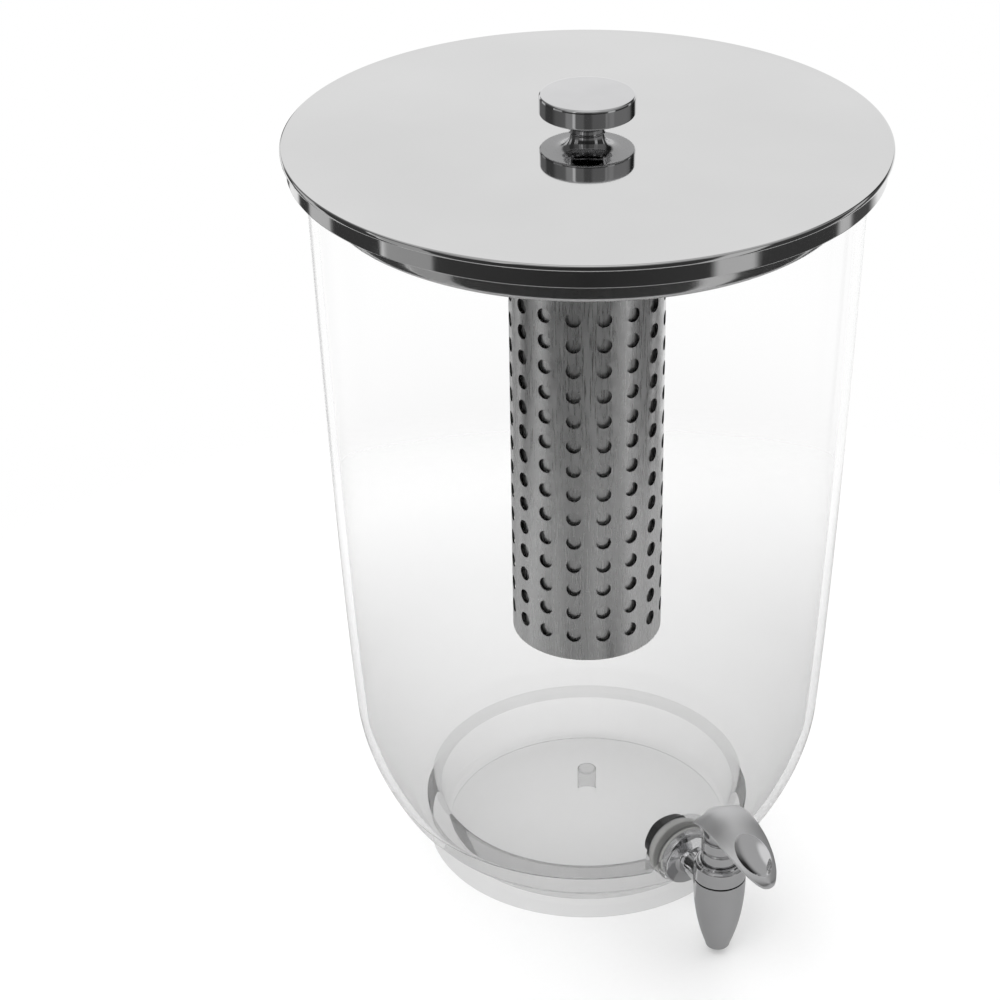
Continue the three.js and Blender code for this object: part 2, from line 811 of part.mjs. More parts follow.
// The bonnet: the neck under the lever, bored for the stem, with the seal's housing below
function bonnet() {
  const bore = stemRadius + boreGap;
  const flangeTop = bonnetBottom + bonnetFlange;
  const groove = unionNutTop + bonnetHeight / 2;
  return turned(
    [
      at(sealRadius + seatGap, bonnetBottom),
      at(bonnetFlangeRadius, bonnetBottom),
      at(bonnetFlangeRadius, flangeTop),
      at(bonnetRadius, flangeTop),
      at(bonnetRadius, groove - bonnetGroove),
      at(bonnetRadius - bonnetGroove, groove),
      at(bonnetRadius, groove + bonnetGroove),
      at(bonnetRadius, bonnetTop - bonnetChamfer),
      at(bonnetRadius - bonnetChamfer, bonnetTop),
      at(bore, bonnetTop),
      at(bore, bonnetBottom + sealHeight + seatGap),
      at(sealRadius + seatGap, bonnetBottom + sealHeight + seatGap),
      at(sealRadius + seatGap, bonnetBottom),
    ],
    mediumFacets,
  );
}

function stemSeal() {
  return turned(ringOutline(stemRadius + seatGap, sealRadius, bonnetBottom, bonnetBottom + sealHeight), smallFacets);
}

// Stem heights that the cup and the spring share
const cupBottom = valveSeatHeight + seatGap;
const stemBottom = cupBottom + stemSink;
const stemFlangeBottom = cupBottom + cupHeight + seatGap;
const stemFlangeTop = stemFlangeBottom + stemFlangeThickness;

function crossRod(radius, halfLength, facets) {
  return new THREE.CylinderGeometry(radius, radius, halfLength + halfLength, facets).rotateZ(Math.PI / 2);
}

function valveStem() {
  const stem = turned(
    [
      at(0, stemBottom),
      at(stemRadius, stemBottom),
      at(stemRadius, stemFlangeBottom),
      at(stemFlangeRadius, stemFlangeBottom),
      at(stemFlangeRadius, stemFlangeTop),
      at(stemRadius, stemFlangeTop),
      at(stemRadius, pinLevel + stemHead),
      at(0, pinLevel + stemHead),
    ],
    smallFacets,
  );
  const hole = crossRod(pinRadius + seatGap, stemRadius + overrun, smallFacets).translate(0, 0, pinLevel);
  return shaped(solid(stem).subtract(solid(hole)));
}

function valveCup() {
  const socket = stemRadius + seatGap;
  return turned(
    [
      at(0, cupBottom),
      at(cupRadius, cupBottom),
      at(cupRadius, cupBottom + cupHeight),
      at(socket, cupBottom + cupHeight),
      at(socket, stemBottom - seatGap),
      at(0, stemBottom - seatGap),
    ],
    smallFacets,
  );
}

// The return spring's centre line, a helix between the stem's flange and the bonnet
class Helix extends THREE.Curve {
  getPoint(t, target = new THREE.Vector3()) {
    const low = stemFlangeTop + springWire + seatGap;
    const high = bonnetBottom - springWire - seatGap;
    const angle = Math.PI * 2 * springTurns * t;
    return target.set(springRadius * Math.cos(angle), springRadius * Math.sin(angle), low + (high - low) * t);
  }
}

function returnSpring() {
  const wire = new THREE.Shape();
  wire.absarc(0, 0, springWire, 0, Math.PI * 2, false);
  const steps = springTurns * 6;
  return welded(new THREE.ExtrudeGeometry(wire, { steps, extrudePath: new Helix(), curveSegments: 3 }));
}

// The lever's plan and height: its edge line runs out along -Y, level at first and then down to the tip
function leverEdge(t) {
  const edge = new THREE.CubicBezierCurve(
    at(leverBack, leverEdgeHeight),
    at(leverTip * leverRunShares[0], leverEdgeHeight * leverRunShares[1]),
    at(leverTip * leverFallShares[0], leverEdgeHeight * leverFallShares[1]),
    at(leverTip, leverTipHeight),
  );
  return edge.getPoint(t);
}

function leverHalfWidthAt(reach) {
  const start = leverTip * leverTaperShare;
  const gone = Math.max(reach - start, 0) / (leverTip - start);
  return leverHalfWidth * Math.sqrt(Math.max(1 - gone ** 2, 0)) + leverTipHalfWidth * gone;
}

// The top sheet arches from side to side; the arch is high over the neck and low over the spoon
function leverSheets() {
  const stations = 12;
  const across = 8;
  const top = [];
  const bottom = [];
  for (let i = 0; i <= stations; i += 1) {
    const t = i / stations;
    const edge = leverEdge(t);
    const half = leverHalfWidthAt(edge.x);
    const crown = leverTipCrown + (leverCrown - leverTipCrown) * Math.cos((Math.PI / 2) * Math.min(t / leverCrownShare, 1)) ** 2;
    const spoon = Math.min(Math.max((t - leverCrownShare / 2) / (1 - leverCrownShare), 0), 1);
    const depth = leverSheet + (spoonThickness - leverSheet) * Math.sin(Math.PI * Math.min(spoon, 1)) ** 2;
    const rows = [[], []];
    for (let k = 0; k <= across; k += 1) {
      const v = (2 * k) / across - 1;
      const height = unionNutTop + edge.y + crown * (1 - v * v);
      const sheet = leverEdgeSheet + (depth - leverEdgeSheet) * (1 - v * v);
      rows[0].push(new THREE.Vector3(half * v, -tapReach - edge.x, height));
      rows[1].push(new THREE.Vector3(half * v, -tapReach - edge.x, height - sheet));
    }
    top.push(rows[0]);
    bottom.push(rows[1]);
  }
  return [top, bottom];
}

// A closed plate between two grids of points that share their counts
function plateBetween(top, bottom) {
  const positions = [];
  function quad(a, b, c, d) {
    for (const p of [a, b, c, a, c, d]) positions.push(p.x, p.y, p.z);
  }
  const last = top.length - 1;
  const side = top[0].length - 1;
  for (let i = 0; i < last; i += 1) {
    for (let k = 0; k < side; k += 1) {
      quad(top[i][k], top[i + 1][k], top[i + 1][k + 1], top[i][k + 1]);
      quad(bottom[i][k + 1], bottom[i + 1][k + 1], bottom[i + 1][k], bottom[i][k]);
    }
    quad(bottom[i][0], bottom[i + 1][0], top[i + 1][0], top[i][0]);
    quad(top[i][side], top[i + 1][side], bottom[i + 1][side], bottom[i][side]);
  }
  for (let k = 0; k < side; k += 1) {
    quad(bottom[0][k], top[0][k], top[0][k + 1], bottom[0][k + 1]);
    quad(bottom[last][k + 1], top[last][k + 1], top[last][k], bottom[last][k]);
  }
  const geometry = new THREE.BufferGeometry();
  geometry.setAttribute("position", new THREE.Float32BufferAttribute(positions, 3));
  return welded(geometry);
}

// A straight-sided block between two corners
function block(low, high) {
  const size = high.clone().sub(low);
  const middle = high.clone().add(low).multiplyScalar(1 / 2);
  return solid(new THREE.BoxGeometry(size.x, size.y, size.z).translate(middle.x, middle.y, middle.z));
}

// The lever: an arched blade with a thumb scoop, on a round hub that rocks over the bonnet's front edge
function lever() {
  const blade = solid(plateBetween(...leverSheets()));
  const hub = turned(rodOutline(hubRadius, hubBase, unionNutTop + leverEdgeHeight + leverCrown / 2), mediumFacets);
  const scoop = new THREE.SphereGeometry(1, smallFacets, smallFacets / 2).scale(scoopWidth, scoopLength, scoopDepth);
  scoop.rotateX(THREE.MathUtils.degToRad(scoopTilt));
  scoop.translate(0, -tapReach - scoopReach, unionNutTop + scoopHeight);
  const lift = hubRadius * THREE.MathUtils.degToRad(leverTurn);
  const slotBack = pinRadius + slotPlay + lift;
  const stemSlot = block(
    new THREE.Vector3(-stemRadius - slotPlay, -tapReach - stemRadius - slotPlay - slotPlay, hubBase - overrun),
    new THREE.Vector3(stemRadius + slotPlay, -tapReach + hubRadius + overrun, pinLevel + stemHead + slotPlay),
  );
  const pinSlot = block(
    new THREE.Vector3(-hubRadius - overrun, -tapReach - pinRadius - slotPlay, pinLevel - pinRadius - slotPlay - slotPlay / 2),
    new THREE.Vector3(hubRadius + overrun, -tapReach + slotBack, pinLevel + pinRadius + slotPlay),
  );
  return shaped(
    blade
      .add(solid(hub.translate(0, -tapReach, 0)))
      .subtract(solid(scoop))
      .subtract(stemSlot)
      .subtract(pinSlot),
  );
}

function leverPin() {
  return welded(crossRod(pinRadius, pinHalfLength, smallFacets)).translate(0, 0, pinLevel);
}

// The finished meshes, grouped as they come apart
function piece(name, geometry, material) {
  const mesh = new THREE.Mesh(geometry, material);
  mesh.name = name;
  return mesh;
}

function sub(...meshes) {
  const group = new THREE.Group();
  group.add(...meshes);
  return group;
}

function containerGroup() {
  return sub(piece("container", container(), clear(0xe4e7e8, 0.05, 0.3)));
}

function lidGroup() {
  return sub(
    piece("lid_plate", lidPlate(), metal(0xcfcfcf, 0.12)),
    piece("lid_skirt", lidSkirt(), metal(0xb8b8b8, 0.14)),
    piece("lid_plug_ring", lidPlug(), metal(0xb4b4b4, 0.2)),
    piece("lid_gasket", lidGasket(), plain(0xdcdcda, 0.6)),
    piece("lid_knob", knob(), metal(0xc9c9c9, 0.1)),
    piece("knob_screw", knobScrew(), metal(0xa8a8a8, 0.3)),
    piece("knob_washer", knobWasher(), metal(0xa8a8a8, 0.3)),
    piece("tube_collar", tubeCollar(), metal(0xb0b0b0, 0.3)),
  );
}

function iceTubeGroup() {
  return sub(
    piece("ice_tube", perforatedTube(), metal(0xa6a6a6, 0.34)),
    piece("ice_tube_rim", tubeRim(), metal(0xa6a6a6, 0.3)),
    piece("ice_tube_base", tubeBase(), metal(0xa6a6a6, 0.34)),
  );
}

function tapMountGroup() {
  return sub(
    piece("tap_body", tapBody(), metal(0xbcbcbc, 0.1)),
    piece("tap_outer_gasket", outerGasket(), plain(0xd4d4d2, 0.5)),
    piece("tap_inner_gasket", innerGasket(), plain(0xd4d4d2, 0.5)),
    piece("tap_lock_washer", lockWasher(), metal(0xa8a8a8, 0.3)),
    piece("tap_lock_nut", lockNut(), plain(0x2b2b2b, 0.45)),
  );
}

function tapHeadGroup() {
  const head = sub(
    piece("tap_union_nut", unionNut(), metal(0xbcbcbc, 0.08)),
    piece("tap_bonnet", bonnet(), metal(0xbcbcbc, 0.1)),
    piece("stem_seal", stemSeal(), plain(0x303030, 0.6)),
    piece("valve_stem", valveStem(), metal(0xb0b0b0, 0.25)),
    piece("valve_cup", valveCup(), plain(0xe2e2de, 0.55)),
    piece("return_spring", returnSpring(), metal(0xa0a0a0, 0.3)),
    piece("lever_pin", leverPin(), metal(0xa8a8a8, 0.25)),
  );
  head.position.set(0, -tapReach, 0);
  return head;
}

function leverGroup() {
  return sub(piece("tap_lever", lever(), metal(0xbfbfbf, 0.08)));
}

const dispenser = sub(
  containerGroup(),
  lidGroup(),
  iceTubeGroup(),
  tapMountGroup(),
  tapHeadGroup(),
  leverGroup(),
);
dispenser.name = "juice_dispenser";
dispenser.position.set(0, axisOffset, 0);

export default dispenser;
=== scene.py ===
import logging
import math
from dataclasses import dataclass
from enum import Enum
from typing import Any, Iterable, Mapping, Sequence

import bmesh
import bpy
from mathutils import Matrix, Vector


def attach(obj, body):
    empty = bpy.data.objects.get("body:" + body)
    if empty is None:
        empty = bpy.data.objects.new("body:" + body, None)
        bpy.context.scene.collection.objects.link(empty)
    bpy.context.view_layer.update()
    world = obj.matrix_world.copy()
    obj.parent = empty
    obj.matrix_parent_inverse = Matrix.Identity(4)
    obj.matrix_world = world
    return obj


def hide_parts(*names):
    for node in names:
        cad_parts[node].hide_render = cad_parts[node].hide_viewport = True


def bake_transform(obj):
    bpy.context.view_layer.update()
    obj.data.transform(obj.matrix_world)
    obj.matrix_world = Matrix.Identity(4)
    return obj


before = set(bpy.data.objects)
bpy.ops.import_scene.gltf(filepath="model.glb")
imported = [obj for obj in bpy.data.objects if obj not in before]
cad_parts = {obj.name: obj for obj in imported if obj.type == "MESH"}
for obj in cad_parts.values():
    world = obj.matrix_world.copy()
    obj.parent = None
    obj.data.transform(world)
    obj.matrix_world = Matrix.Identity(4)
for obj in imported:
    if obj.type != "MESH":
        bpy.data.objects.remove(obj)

LOG = logging.getLogger("juice_dispenser")
MM = 0.001
# Pieces are made about the container's own axis and then moved to where it stands in the frame.
AXIS_PLACE = Vector((0.0, 11.65 * MM, 0.0))
# A bore is wider than what goes through it by this, all round.
PLAY = 0.25 * MM
# Seated pieces are drawn this far apart.
SEAT = 0.1 * MM
# A cutting tool goes past the face that it cuts by at least this.
OVERRUN = 20 * MM
Outline = list[tuple[float, float]]
Corner = tuple[float, float, float]
Material = bpy.types.Material
Piece = bpy.types.Object
Socket = bpy.types.NodeSocket
Tree = bpy.types.NodeTree


class Axis(Enum):
    """The line that a turned piece is turned about."""

    UPRIGHT = "upright"
    TAP_ARM = "tap_arm"


class Cut(Enum):
    """The ways in which one solid changes another."""

    JOIN = "UNION"
    REMOVE = "DIFFERENCE"
    KEEP = "INTERSECT"


# Shader and geometry nodes

def node(tree: Tree, kind: str, inputs: Mapping[Any, Any] | None = None, **settings: Any) -> bpy.types.Node:
    """Adds one node to a tree.

    Args:
        tree: The tree that gets the node.
        kind: The node's type name.
        inputs: Input name or number to a value, or to the socket that feeds it.
        **settings: The node's own properties.

    Returns:
        The new node.
    """
    made = tree.nodes.new(kind)
    for key, value in settings.items():
        setattr(made, key, value)
    for key, value in (inputs or {}).items():
        if isinstance(value, Socket):
            tree.links.new(value, made.inputs[key])
        else:
            made.inputs[key].default_value = value
    return made


def linear(colour: str) -> tuple[float, float, float, float]:
    """Turns an sRGB hex colour to linear RGBA.

    Args:
        colour: The colour, such as "#c8c8c8".

    Returns:
        Red, green, blue and alpha, each from 0 to 1.
    """
    parts = [int(colour[i:i + 2], 16) / 255 for i in (1, 3, 5)]
    flat = [p / 12.92 if p <= 0.04045 else ((p + 0.055) / 1.055) ** 2.4 for p in parts]
    return flat[0], flat[1], flat[2], 1.0


def maths(tree: Tree, operation: str, *values: Any) -> Socket:
    """Adds a sum of numbers and sockets to a tree and returns its result."""
    return node(tree, "ShaderNodeMath", dict(enumerate(values)), operation=operation).outputs[0]


def mixed(tree: Tree, share: Any, first: Any, second: Any) -> Socket:
    """Adds a mix of two colours to a tree and returns the mixed colour."""
    return node(tree, "ShaderNodeMix", {0: share, 6: first, 7: second}, data_type="RGBA").outputs[2]


def mapped(tree: Tree, value: Socket, start: float, end: float, low: float = 0.0, high: float = 1.0,
           smooth: bool = False) -> Socket:
    """Adds a change of range, straight or eased, to a tree and returns its result."""
    return node(tree, "ShaderNodeMapRange", {
        "Value": value, "From Min": start, "From Max": end, "To Min": low, "To Max": high,
    }, interpolation_type="SMOOTHSTEP" if smooth else "LINEAR").outputs["Result"]


def noise(tree: Tree, place: Socket, width: float, detail: float) -> Socket:
    """Adds noise, with patches of a width in metres, to a tree and returns its value from 0 to 1."""
    return node(tree, "ShaderNodeTexNoise", {"Vector": place, "Scale": 1 / width, "Detail": detail}).outputs["Fac"]


def relief(tree: Tree, height: Socket, strength: float, depth: float) -> Socket:
    """Adds a fine relief, with a depth in metres, to a tree and returns its normal."""
    return node(tree, "ShaderNodeBump", {"Height": height, "Strength": strength, "Distance": depth}).outputs["Normal"]


def toned(tree: Tree, share: Socket, dark: str, light: str, start: float) -> Socket:
    """Adds a ramp between two tones to a tree.

    Args:
        tree: The tree that gets it.
        share: What it follows, from 0 to 1.
        dark: The tone at its low end.
        light: The tone at its high end.
        start: Where it leaves the dark tone; it reaches the light one as far from the other end.

    Returns:
        The colour.
    """
    ramp = node(tree, "ShaderNodeValToRGB", {"Fac": share})
    for stop, place, colour in zip(ramp.color_ramp.elements, (start, 1 - start), (dark, light)):
        stop.position, stop.color = place, linear(colour)
    return ramp.outputs["Color"]


def blank_material(name: str) -> tuple[Material, Tree, Socket]:
    """Makes a material with no shader.

    Args:
        name: The material's name.

    Returns:
        The material, its tree and the object's own coordinates in it.
    """
    material = bpy.data.materials.new(name)
    material.use_nodes = True
    tree = material.node_tree
    tree.nodes.clear()
    return material, tree, node(tree, "ShaderNodeTexCoord").outputs["Object"]


def surface(tree: Tree, inputs: Mapping[str, Any]) -> None:
    """Adds a shader with the given inputs to a material's tree and shows it."""
    shader = node(tree, "ShaderNodeBsdfPrincipled", inputs)
    node(tree, "ShaderNodeOutputMaterial", {"Surface": shader.outputs["BSDF"]})


@dataclass(frozen=True)
class Metal:
    """A bare or plated metal with faint cloudy tone and fine wipe marks.

    Attributes:
        name: The metal and how its surface was made.
        light: The paler of its two tones.
        dark: The darker of its two tones.
        roughness: The roughness between its wipe marks.
        cloud: Width of a patch of tone, in metres.
        haze: How much the wipe marks add to the roughness.
        grain: Depth of the surface's fine relief, in metres.
    """

    name: str
    light: str
    dark: str
    roughness: float
    cloud: float = 0.04
    haze: float = 0.05
    grain: float = 0.000002

    def material(self) -> Material:
        """Returns the metal as a material."""
        material, tree, place = blank_material(self.name)
        cloud = noise(tree, place, self.cloud, 3.0)
        # Wipe marks are about 0.6 mm wide and 6 mm long.
        stretched = node(tree, "ShaderNodeMapping", {"Vector": place, "Scale": (1.0, 1.0, 0.1)}).outputs["Vector"]
        marks = noise(tree, stretched, 0.6 * MM, 2.0)
        surface(tree, {
            "Base Color": toned(tree, cloud, self.dark, self.light, 0.3), "Metallic": 1.0,
            "Roughness": mapped(tree, marks, 0.35, 0.75, self.roughness, self.roughness + self.haze),
            "Normal": relief(tree, marks, 0.15, self.grain),
        })
        return material


@dataclass(frozen=True)
class DrawnSteel:
    """Satin steel drawn along the tube: long upright streaks, and broad soft upright bands of tone that are painted
    reflections.

    Attributes:
        name: The metal and how its surface was made.
        light: The tone of the pale painted reflection bands.
        dark: The tone of the dark painted reflection bands.
        streak: Width of one fine streak, in metres.
    """

    name: str
    light: str
    dark: str
    streak: float = 0.0005

    def material(self) -> Material:
        """Returns the metal as a material."""
        material, tree, place = blank_material(self.name)
        # The painted reflection bands are about 15 mm wide and run the tube's whole length.
        tall = node(tree, "ShaderNodeMapping", {"Vector": place, "Scale": (1.0, 1.0, 0.04)}).outputs["Vector"]
        bands = noise(tree, tall, 15 * MM, 1.0)
        streaks = noise(tree, tall, self.streak, 2.0)
        surface(tree, {
            "Base Color": toned(tree, bands, self.dark, self.light, 0.36), "Metallic": 1.0,
            "Roughness": mapped(tree, streaks, 0.3, 0.7, 0.22, 0.4),
            "Normal": relief(tree, streaks, 0.2, 0.02 * MM),
        })
        return material


@dataclass(frozen=True)
class ClearPlastic:
    """Clear moulded plastic: nearly colourless, with a grey cast near its foot that is partly the thicker moulding's
    tint and partly painted shade.

    Attributes:
        name: The plastic and how its surface was made.
        clear: Its tint in the thin upper wall.
        thick: Its tint in the foot and shoulder, partly the thicker moulding's own and partly painted shade.
        edge: Its tint, with painted shade, in the foot and shoulder where the eye looks along the wall.
        low: Height at which the grey cast and its painted shade are full, in metres.
        high: Height at which the grey cast and its painted shade have gone, in metres.
        shade: How much of the light it keeps from what lies behind it.
        index: Its index of refraction. The real one, 1.58, bends what lies behind far more than the photograph shows.
    """

    name: str
    clear: str
    thick: str
    edge: str
    low: float
    high: float
    shade: float
    index: float = 1.045

    def material(self) -> Material:
        """Returns the plastic as a material."""
        material, tree, place = blank_material(self.name)
        height = node(tree, "ShaderNodeSeparateXYZ", {"Vector": place}).outputs["Z"]
        # The grey towards the foot is partly the thicker moulding's tint and partly painted shade, darker still where
        # the eye looks along the wall.
        share = mapped(tree, height, self.low, self.high, smooth=True)
        along = node(tree, "ShaderNodeLayerWeight", {"Blend": 0.5}).outputs["Facing"]
        thick = mixed(tree, along, linear(self.thick), linear(self.edge))
        # Light goes through to what lies behind, so the shadow of clear plastic is faint.
        path = node(tree, "ShaderNodeLightPath").outputs
        passing = maths(tree, "MAXIMUM", path["Is Shadow Ray"], path["Is Diffuse Ray"])
        # Moulding leaves slow waves in the wall, about 30 mm apart.
        waves = noise(tree, place, 30 * MM, 1.0)
        surface(tree, {
            "Base Color": mixed(tree, share, thick, linear(self.clear)), "Roughness": 0.0, "IOR": self.index,
            "Alpha": mapped(tree, passing, 0.0, 1.0, 1.0, self.shade), "Transmission Weight": 1.0,
            "Normal": relief(tree, waves, 0.2, 0.05 * MM),
        })
        return material


@dataclass(frozen=True)
class SoftMoulding:
    """Moulded rubber, silicone or nylon: one colour with a slight mottle and a fine matt skin.

    Attributes:
        name: The material and how its surface was made.
        light: The paler of its two tones.
        dark: The darker of its two tones.
        roughness: The skin's roughness.
        mottle: Width of one patch of the mottle, in metres.
    """

    name: str
    light: str
    dark: str
    roughness: float
    mottle: float = 0.004

    def material(self) -> Material:
        """Returns the moulding as a material."""
        material, tree, place = blank_material(self.name)
        patches = noise(tree, place, self.mottle, 4.0)
        skin = noise(tree, place, 0.25 * MM, 2.0)
        surface(tree, {
            "Base Color": mixed(tree, patches, linear(self.dark), linear(self.light)), "Roughness": self.roughness,
            "Normal": relief(tree, skin, 0.25, 0.02 * MM),
        })
        return material


# Meshes

def curve(points: Sequence[tuple[float, float]], steps: int) -> Outline:
    """Samples a Bezier curve of any degree.

    Args:
        points: Its control points.
        steps: How many spans to cut it into.

    Returns:
        The points from its start to its end.
    """
    made: Outline = []
    for i in range(steps + 1):
        t = i / steps
        level = list(points)
        while len(level) > 1:
            level = [tuple(a + (b - a) * t for a, b in zip(p, q)) for p, q in zip(level, level[1:])]
        made.append(level[0])
    return made


def softened(corners: Sequence[Corner], closed: bool = False, steps: int = 4) -> Outline:
    """Rounds the corners of an outline, each by its own distance.

    Args:
        corners: Radius, height and rounding of each corner; a rounding of 0 leaves it as it is.
        closed: Whether the last corner joins the first.
        steps: How many spans each rounding gets.

    Returns:
        The outline, with a point on each side of a rounding so that flat stretches stay flat.
    """
    made: Outline = []
    count = len(corners)
    for i, (x, y, rounding) in enumerate(corners):
        if rounding <= 0 or (not closed and i in (0, count - 1)):
            made.append((x, y))
            continue
        here = Vector((x, y))
        ends = []
        for other in (corners[i - 1], corners[(i + 1) % count]):
            way = Vector(other[:2]) - here
            reach = min(rounding, way.length * 0.4)
            beyond = min(reach * 1.15, way.length * 0.45)
            ends.append((here + way.normalized() * reach, here + way.normalized() * beyond))
        made.append(tuple(ends[0][1]))
        made.extend(curve([tuple(ends[0][0]), (x, y), tuple(ends[1][0])], steps))
        made.append(tuple(ends[1][1]))
    return made + ([made[0]] if closed else [])


def mesh_object(name: str, points: Sequence[Sequence[float]], faces: Sequence[Sequence[int]]) -> Piece:
    """Makes an object from points and faces, welds it and turns its faces out.

    Args:
        name: The object's name.
        points: The places of its corners.
        faces: The corners of each face.

    Returns:
        The object, linked to the scene.
    """
    mesh = bpy.data.meshes.new(name)
    mesh.from_pydata([tuple(p) for p in points], [], [list(f) for f in faces])
    work = bmesh.new()
    work.from_mesh(mesh)
    bmesh.ops.remove_doubles(work, verts=work.verts, dist=0.0005 * MM)
    bmesh.ops.recalc_face_normals(work, faces=work.faces)
    work.to_mesh(mesh)
    work.free()
    made = bpy.data.objects.new(name, mesh)
    bpy.context.scene.collection.objects.link(made)
    return made


def turned(name: str, outline: Outline, sides: int, axis: Axis = Axis.UPRIGHT,
           centre: Corner = (0.0, 0.0, 0.0)) -> Piece:
    """Turns an outline about an axis into a closed mesh.

    Args:
        name: The object's name.
        outline: Radius and place along the axis, from axis to axis or closed on itself.
        sides: How many sides a turn gets.
        axis: The axis: upright, or level along the tap's arm, out to -Y.
        centre: A point of the axis.

    Returns:
        The object.
    """
    points: list[Vector] = []
    rings: list[list[int]] = []
    for radius, along in outline:
        ring = []
        for k in range(1 if radius == 0 else sides):
            angle = 2 * math.pi * k / sides
            across = (radius * math.cos(angle), radius * math.sin(angle))
            local = (across[0], across[1], along) if axis is Axis.UPRIGHT else (across[0], -along, across[1])
            ring.append(len(points))
            points.append(Vector(local) + Vector(centre))
        rings.append(ring)
    faces = []
    for low, high in zip(rings, rings[1:]):
        for k in range(sides):
            corners = [low[k % len(low)], low[(k + 1) % len(low)], high[(k + 1) % len(high)], high[k % len(high)]]
            flat = list(dict.fromkeys(corners))
            if len(flat) > 2:
                faces.append(flat)
    return mesh_object(name, points, faces)


def rod(radius: float, start: float, end: float, sides: int, axis: Axis, centre: Corner) -> Piece:
    """Makes a cylinder about an axis, from one place on it to another."""
    return turned("rod", [(0.0, start), (radius, start), (radius, end), (0.0, end)], sides, axis, centre)


def prism(name: str, outline: Outline, near: float, far: float) -> Piece:
    """Makes a level prism that runs out to -Y.

    Args:
        name: The object's name.
        outline: The places across and up of its corners.
        near: Its nearer end.
        far: Its farther end.

    Returns:
        The object.
    """
    count = len(outline)
    points = [(x, -y, z) for y in (near, far) for x, z in outline]
    faces = [list(range(count)), list(range(count, 2 * count))]
    faces += [[k, (k + 1) % count, count + (k + 1) % count, count + k] for k in range(count)]
    return mesh_object(name, points, faces)


def band(inner: float, outer: float, low: float, high: float, soft: float) -> Outline:
    """Returns the outline of a flat ring whose four edges are rounded alike."""
    return softened([(inner, low, soft), (outer, low, soft), (outer, high, soft), (inner, high, soft)], closed=True)


def applied(piece: Piece) -> Piece:
    """Turns a piece with its modifiers into a plain mesh.

    Args:
        piece: The object, which keeps its name.

    Returns:
        The same object, with the evaluated mesh and no modifier.
    """
    bpy.context.view_layer.update()
    evaluated = piece.evaluated_get(bpy.context.evaluated_depsgraph_get())
    mesh = bpy.data.meshes.new_from_object(evaluated)
    old = piece.data
    piece.modifiers.clear()
    piece.data = mesh
    bpy.data.meshes.remove(old)
    return piece


def carved(piece: Piece, steps: Iterable[tuple[Cut, Piece]]) -> Piece:
    """Joins solids to a piece, or cuts it with them, one after another.

    Args:
        piece: The piece to change.
        steps: What to do, and the solid to do it with, which is used up.

    Returns:
        The piece, as a plain mesh.
    """
    for cut, tool in steps:
        change = piece.modifiers.new("change", "BOOLEAN")
        change.operation, change.object, change.solver = cut.value, tool, "EXACT"
        change.material_mode = "TRANSFER"
        applied(piece)
        mesh = tool.data
        bpy.data.objects.remove(tool)
        bpy.data.meshes.remove(mesh)
    return piece


def smoothed(piece: Piece, angle: float = 32.0, bevel: float = 0.0) -> Piece:
    """Shades a piece smooth up to an angle, after an optional bevel of its sharp edges.

    Args:
        piece: The piece.
        angle: The angle in degrees past which an edge stays sharp.
        bevel: The bevel's width, in metres.

    Returns:
        The piece.
    """
    if bevel > 0:
        edges = piece.modifiers.new("edges", "BEVEL")
        edges.width, edges.segments, edges.limit_method = bevel, 2, "ANGLE"
        edges.angle_limit, edges.use_clamp_overlap = math.radians(angle), True
        applied(piece)
    piece.data.shade_smooth()
    piece.data.set_sharp_from_angle(angle=math.radians(angle))
    return piece


def dressed(piece: Piece, material: Material | None, body: str | None, nodes: Sequence[str]) -> None:
    """Gives a piece its finish and its body, and lets it stand for solids of the frame.

    Args:
        piece: The finished piece.
        material: Its finish, or None where it has its finishes already.
        body: The body that it rides on, or None to leave it on none.
        nodes: The solids that it stands for.
    """
    piece.data.transform(Matrix.Translation(AXIS_PLACE))
    if material is not None:
        piece.data.materials.clear()
        piece.data.materials.append(material)
    if body is not None:
        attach(piece, body)
    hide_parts(*nodes)
    LOG.info("%s: %d faces, rides on %s", piece.name, len(piece.data.polygons), body or "two bodies")


def finish_node(name: str, material: Material) -> None:
    """Gives a solid of the frame its finish.

    Args:
        name: The solid's name.
        material: Its finish.
    """
    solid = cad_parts[name]
    solid.data.materials.clear()
    solid.data.materials.append(material)
    LOG.info("%s: kept from the frame", name)


# Geometry node trees

def geometry_tree(name: str, sockets: Mapping[str, Sequence[str]]) -> tuple[Tree, Any]:
    """Makes a geometry node tree with named inputs.

    Args:
        name: The tree's name.
        sockets: The names of its inputs by their type.

    Returns:
        The tree, and its inputs by name.
    """
    tree = bpy.data.node_groups.new(name, "GeometryNodeTree")
    tree.interface.new_socket("Geometry", in_out="OUTPUT", socket_type="NodeSocketGeometry")
    for kind, names in sockets.items():
        for socket in names:
            tree.interface.new_socket(socket, in_out="INPUT", socket_type=f"NodeSocket{kind}")
    return tree, node(tree, "NodeGroupInput").outputs


def end_tree(tree: Tree, geometry: Socket, finish: Socket) -> Tree:
    """Ends a geometry node tree: makes its geometry real and gives it a finish.

    Args:
        tree: The tree.
        geometry: What it has made.
        finish: The material.

    Returns:
        The tree.
    """
    real = node(tree, "GeometryNodeRealizeInstances", {"Geometry": geometry}).outputs[0]
    coated = node(tree, "GeometryNodeSetMaterial", {"Geometry": real, "Material": finish}).outputs[0]
    node(tree, "NodeGroupOutput", {0: coated})
    return tree


def grown(piece: Piece, tree: Tree, values: Mapping[str, Any]) -> Piece:
    """Runs a geometry node tree on a piece.

    Args:
        piece: The piece that it starts from.
        tree: The tree.
        values: The tree's inputs by name.

    Returns:
        The piece, as a plain mesh.
    """
    change = piece.modifiers.new("grown", "NODES")
    change.node_group = tree
    for socket in tree.interface.items_tree:
        if socket.in_out == "INPUT" and socket.name in values:
            change[socket.identifier] = values[socket.name]
    return applied(piece)


# Finishes

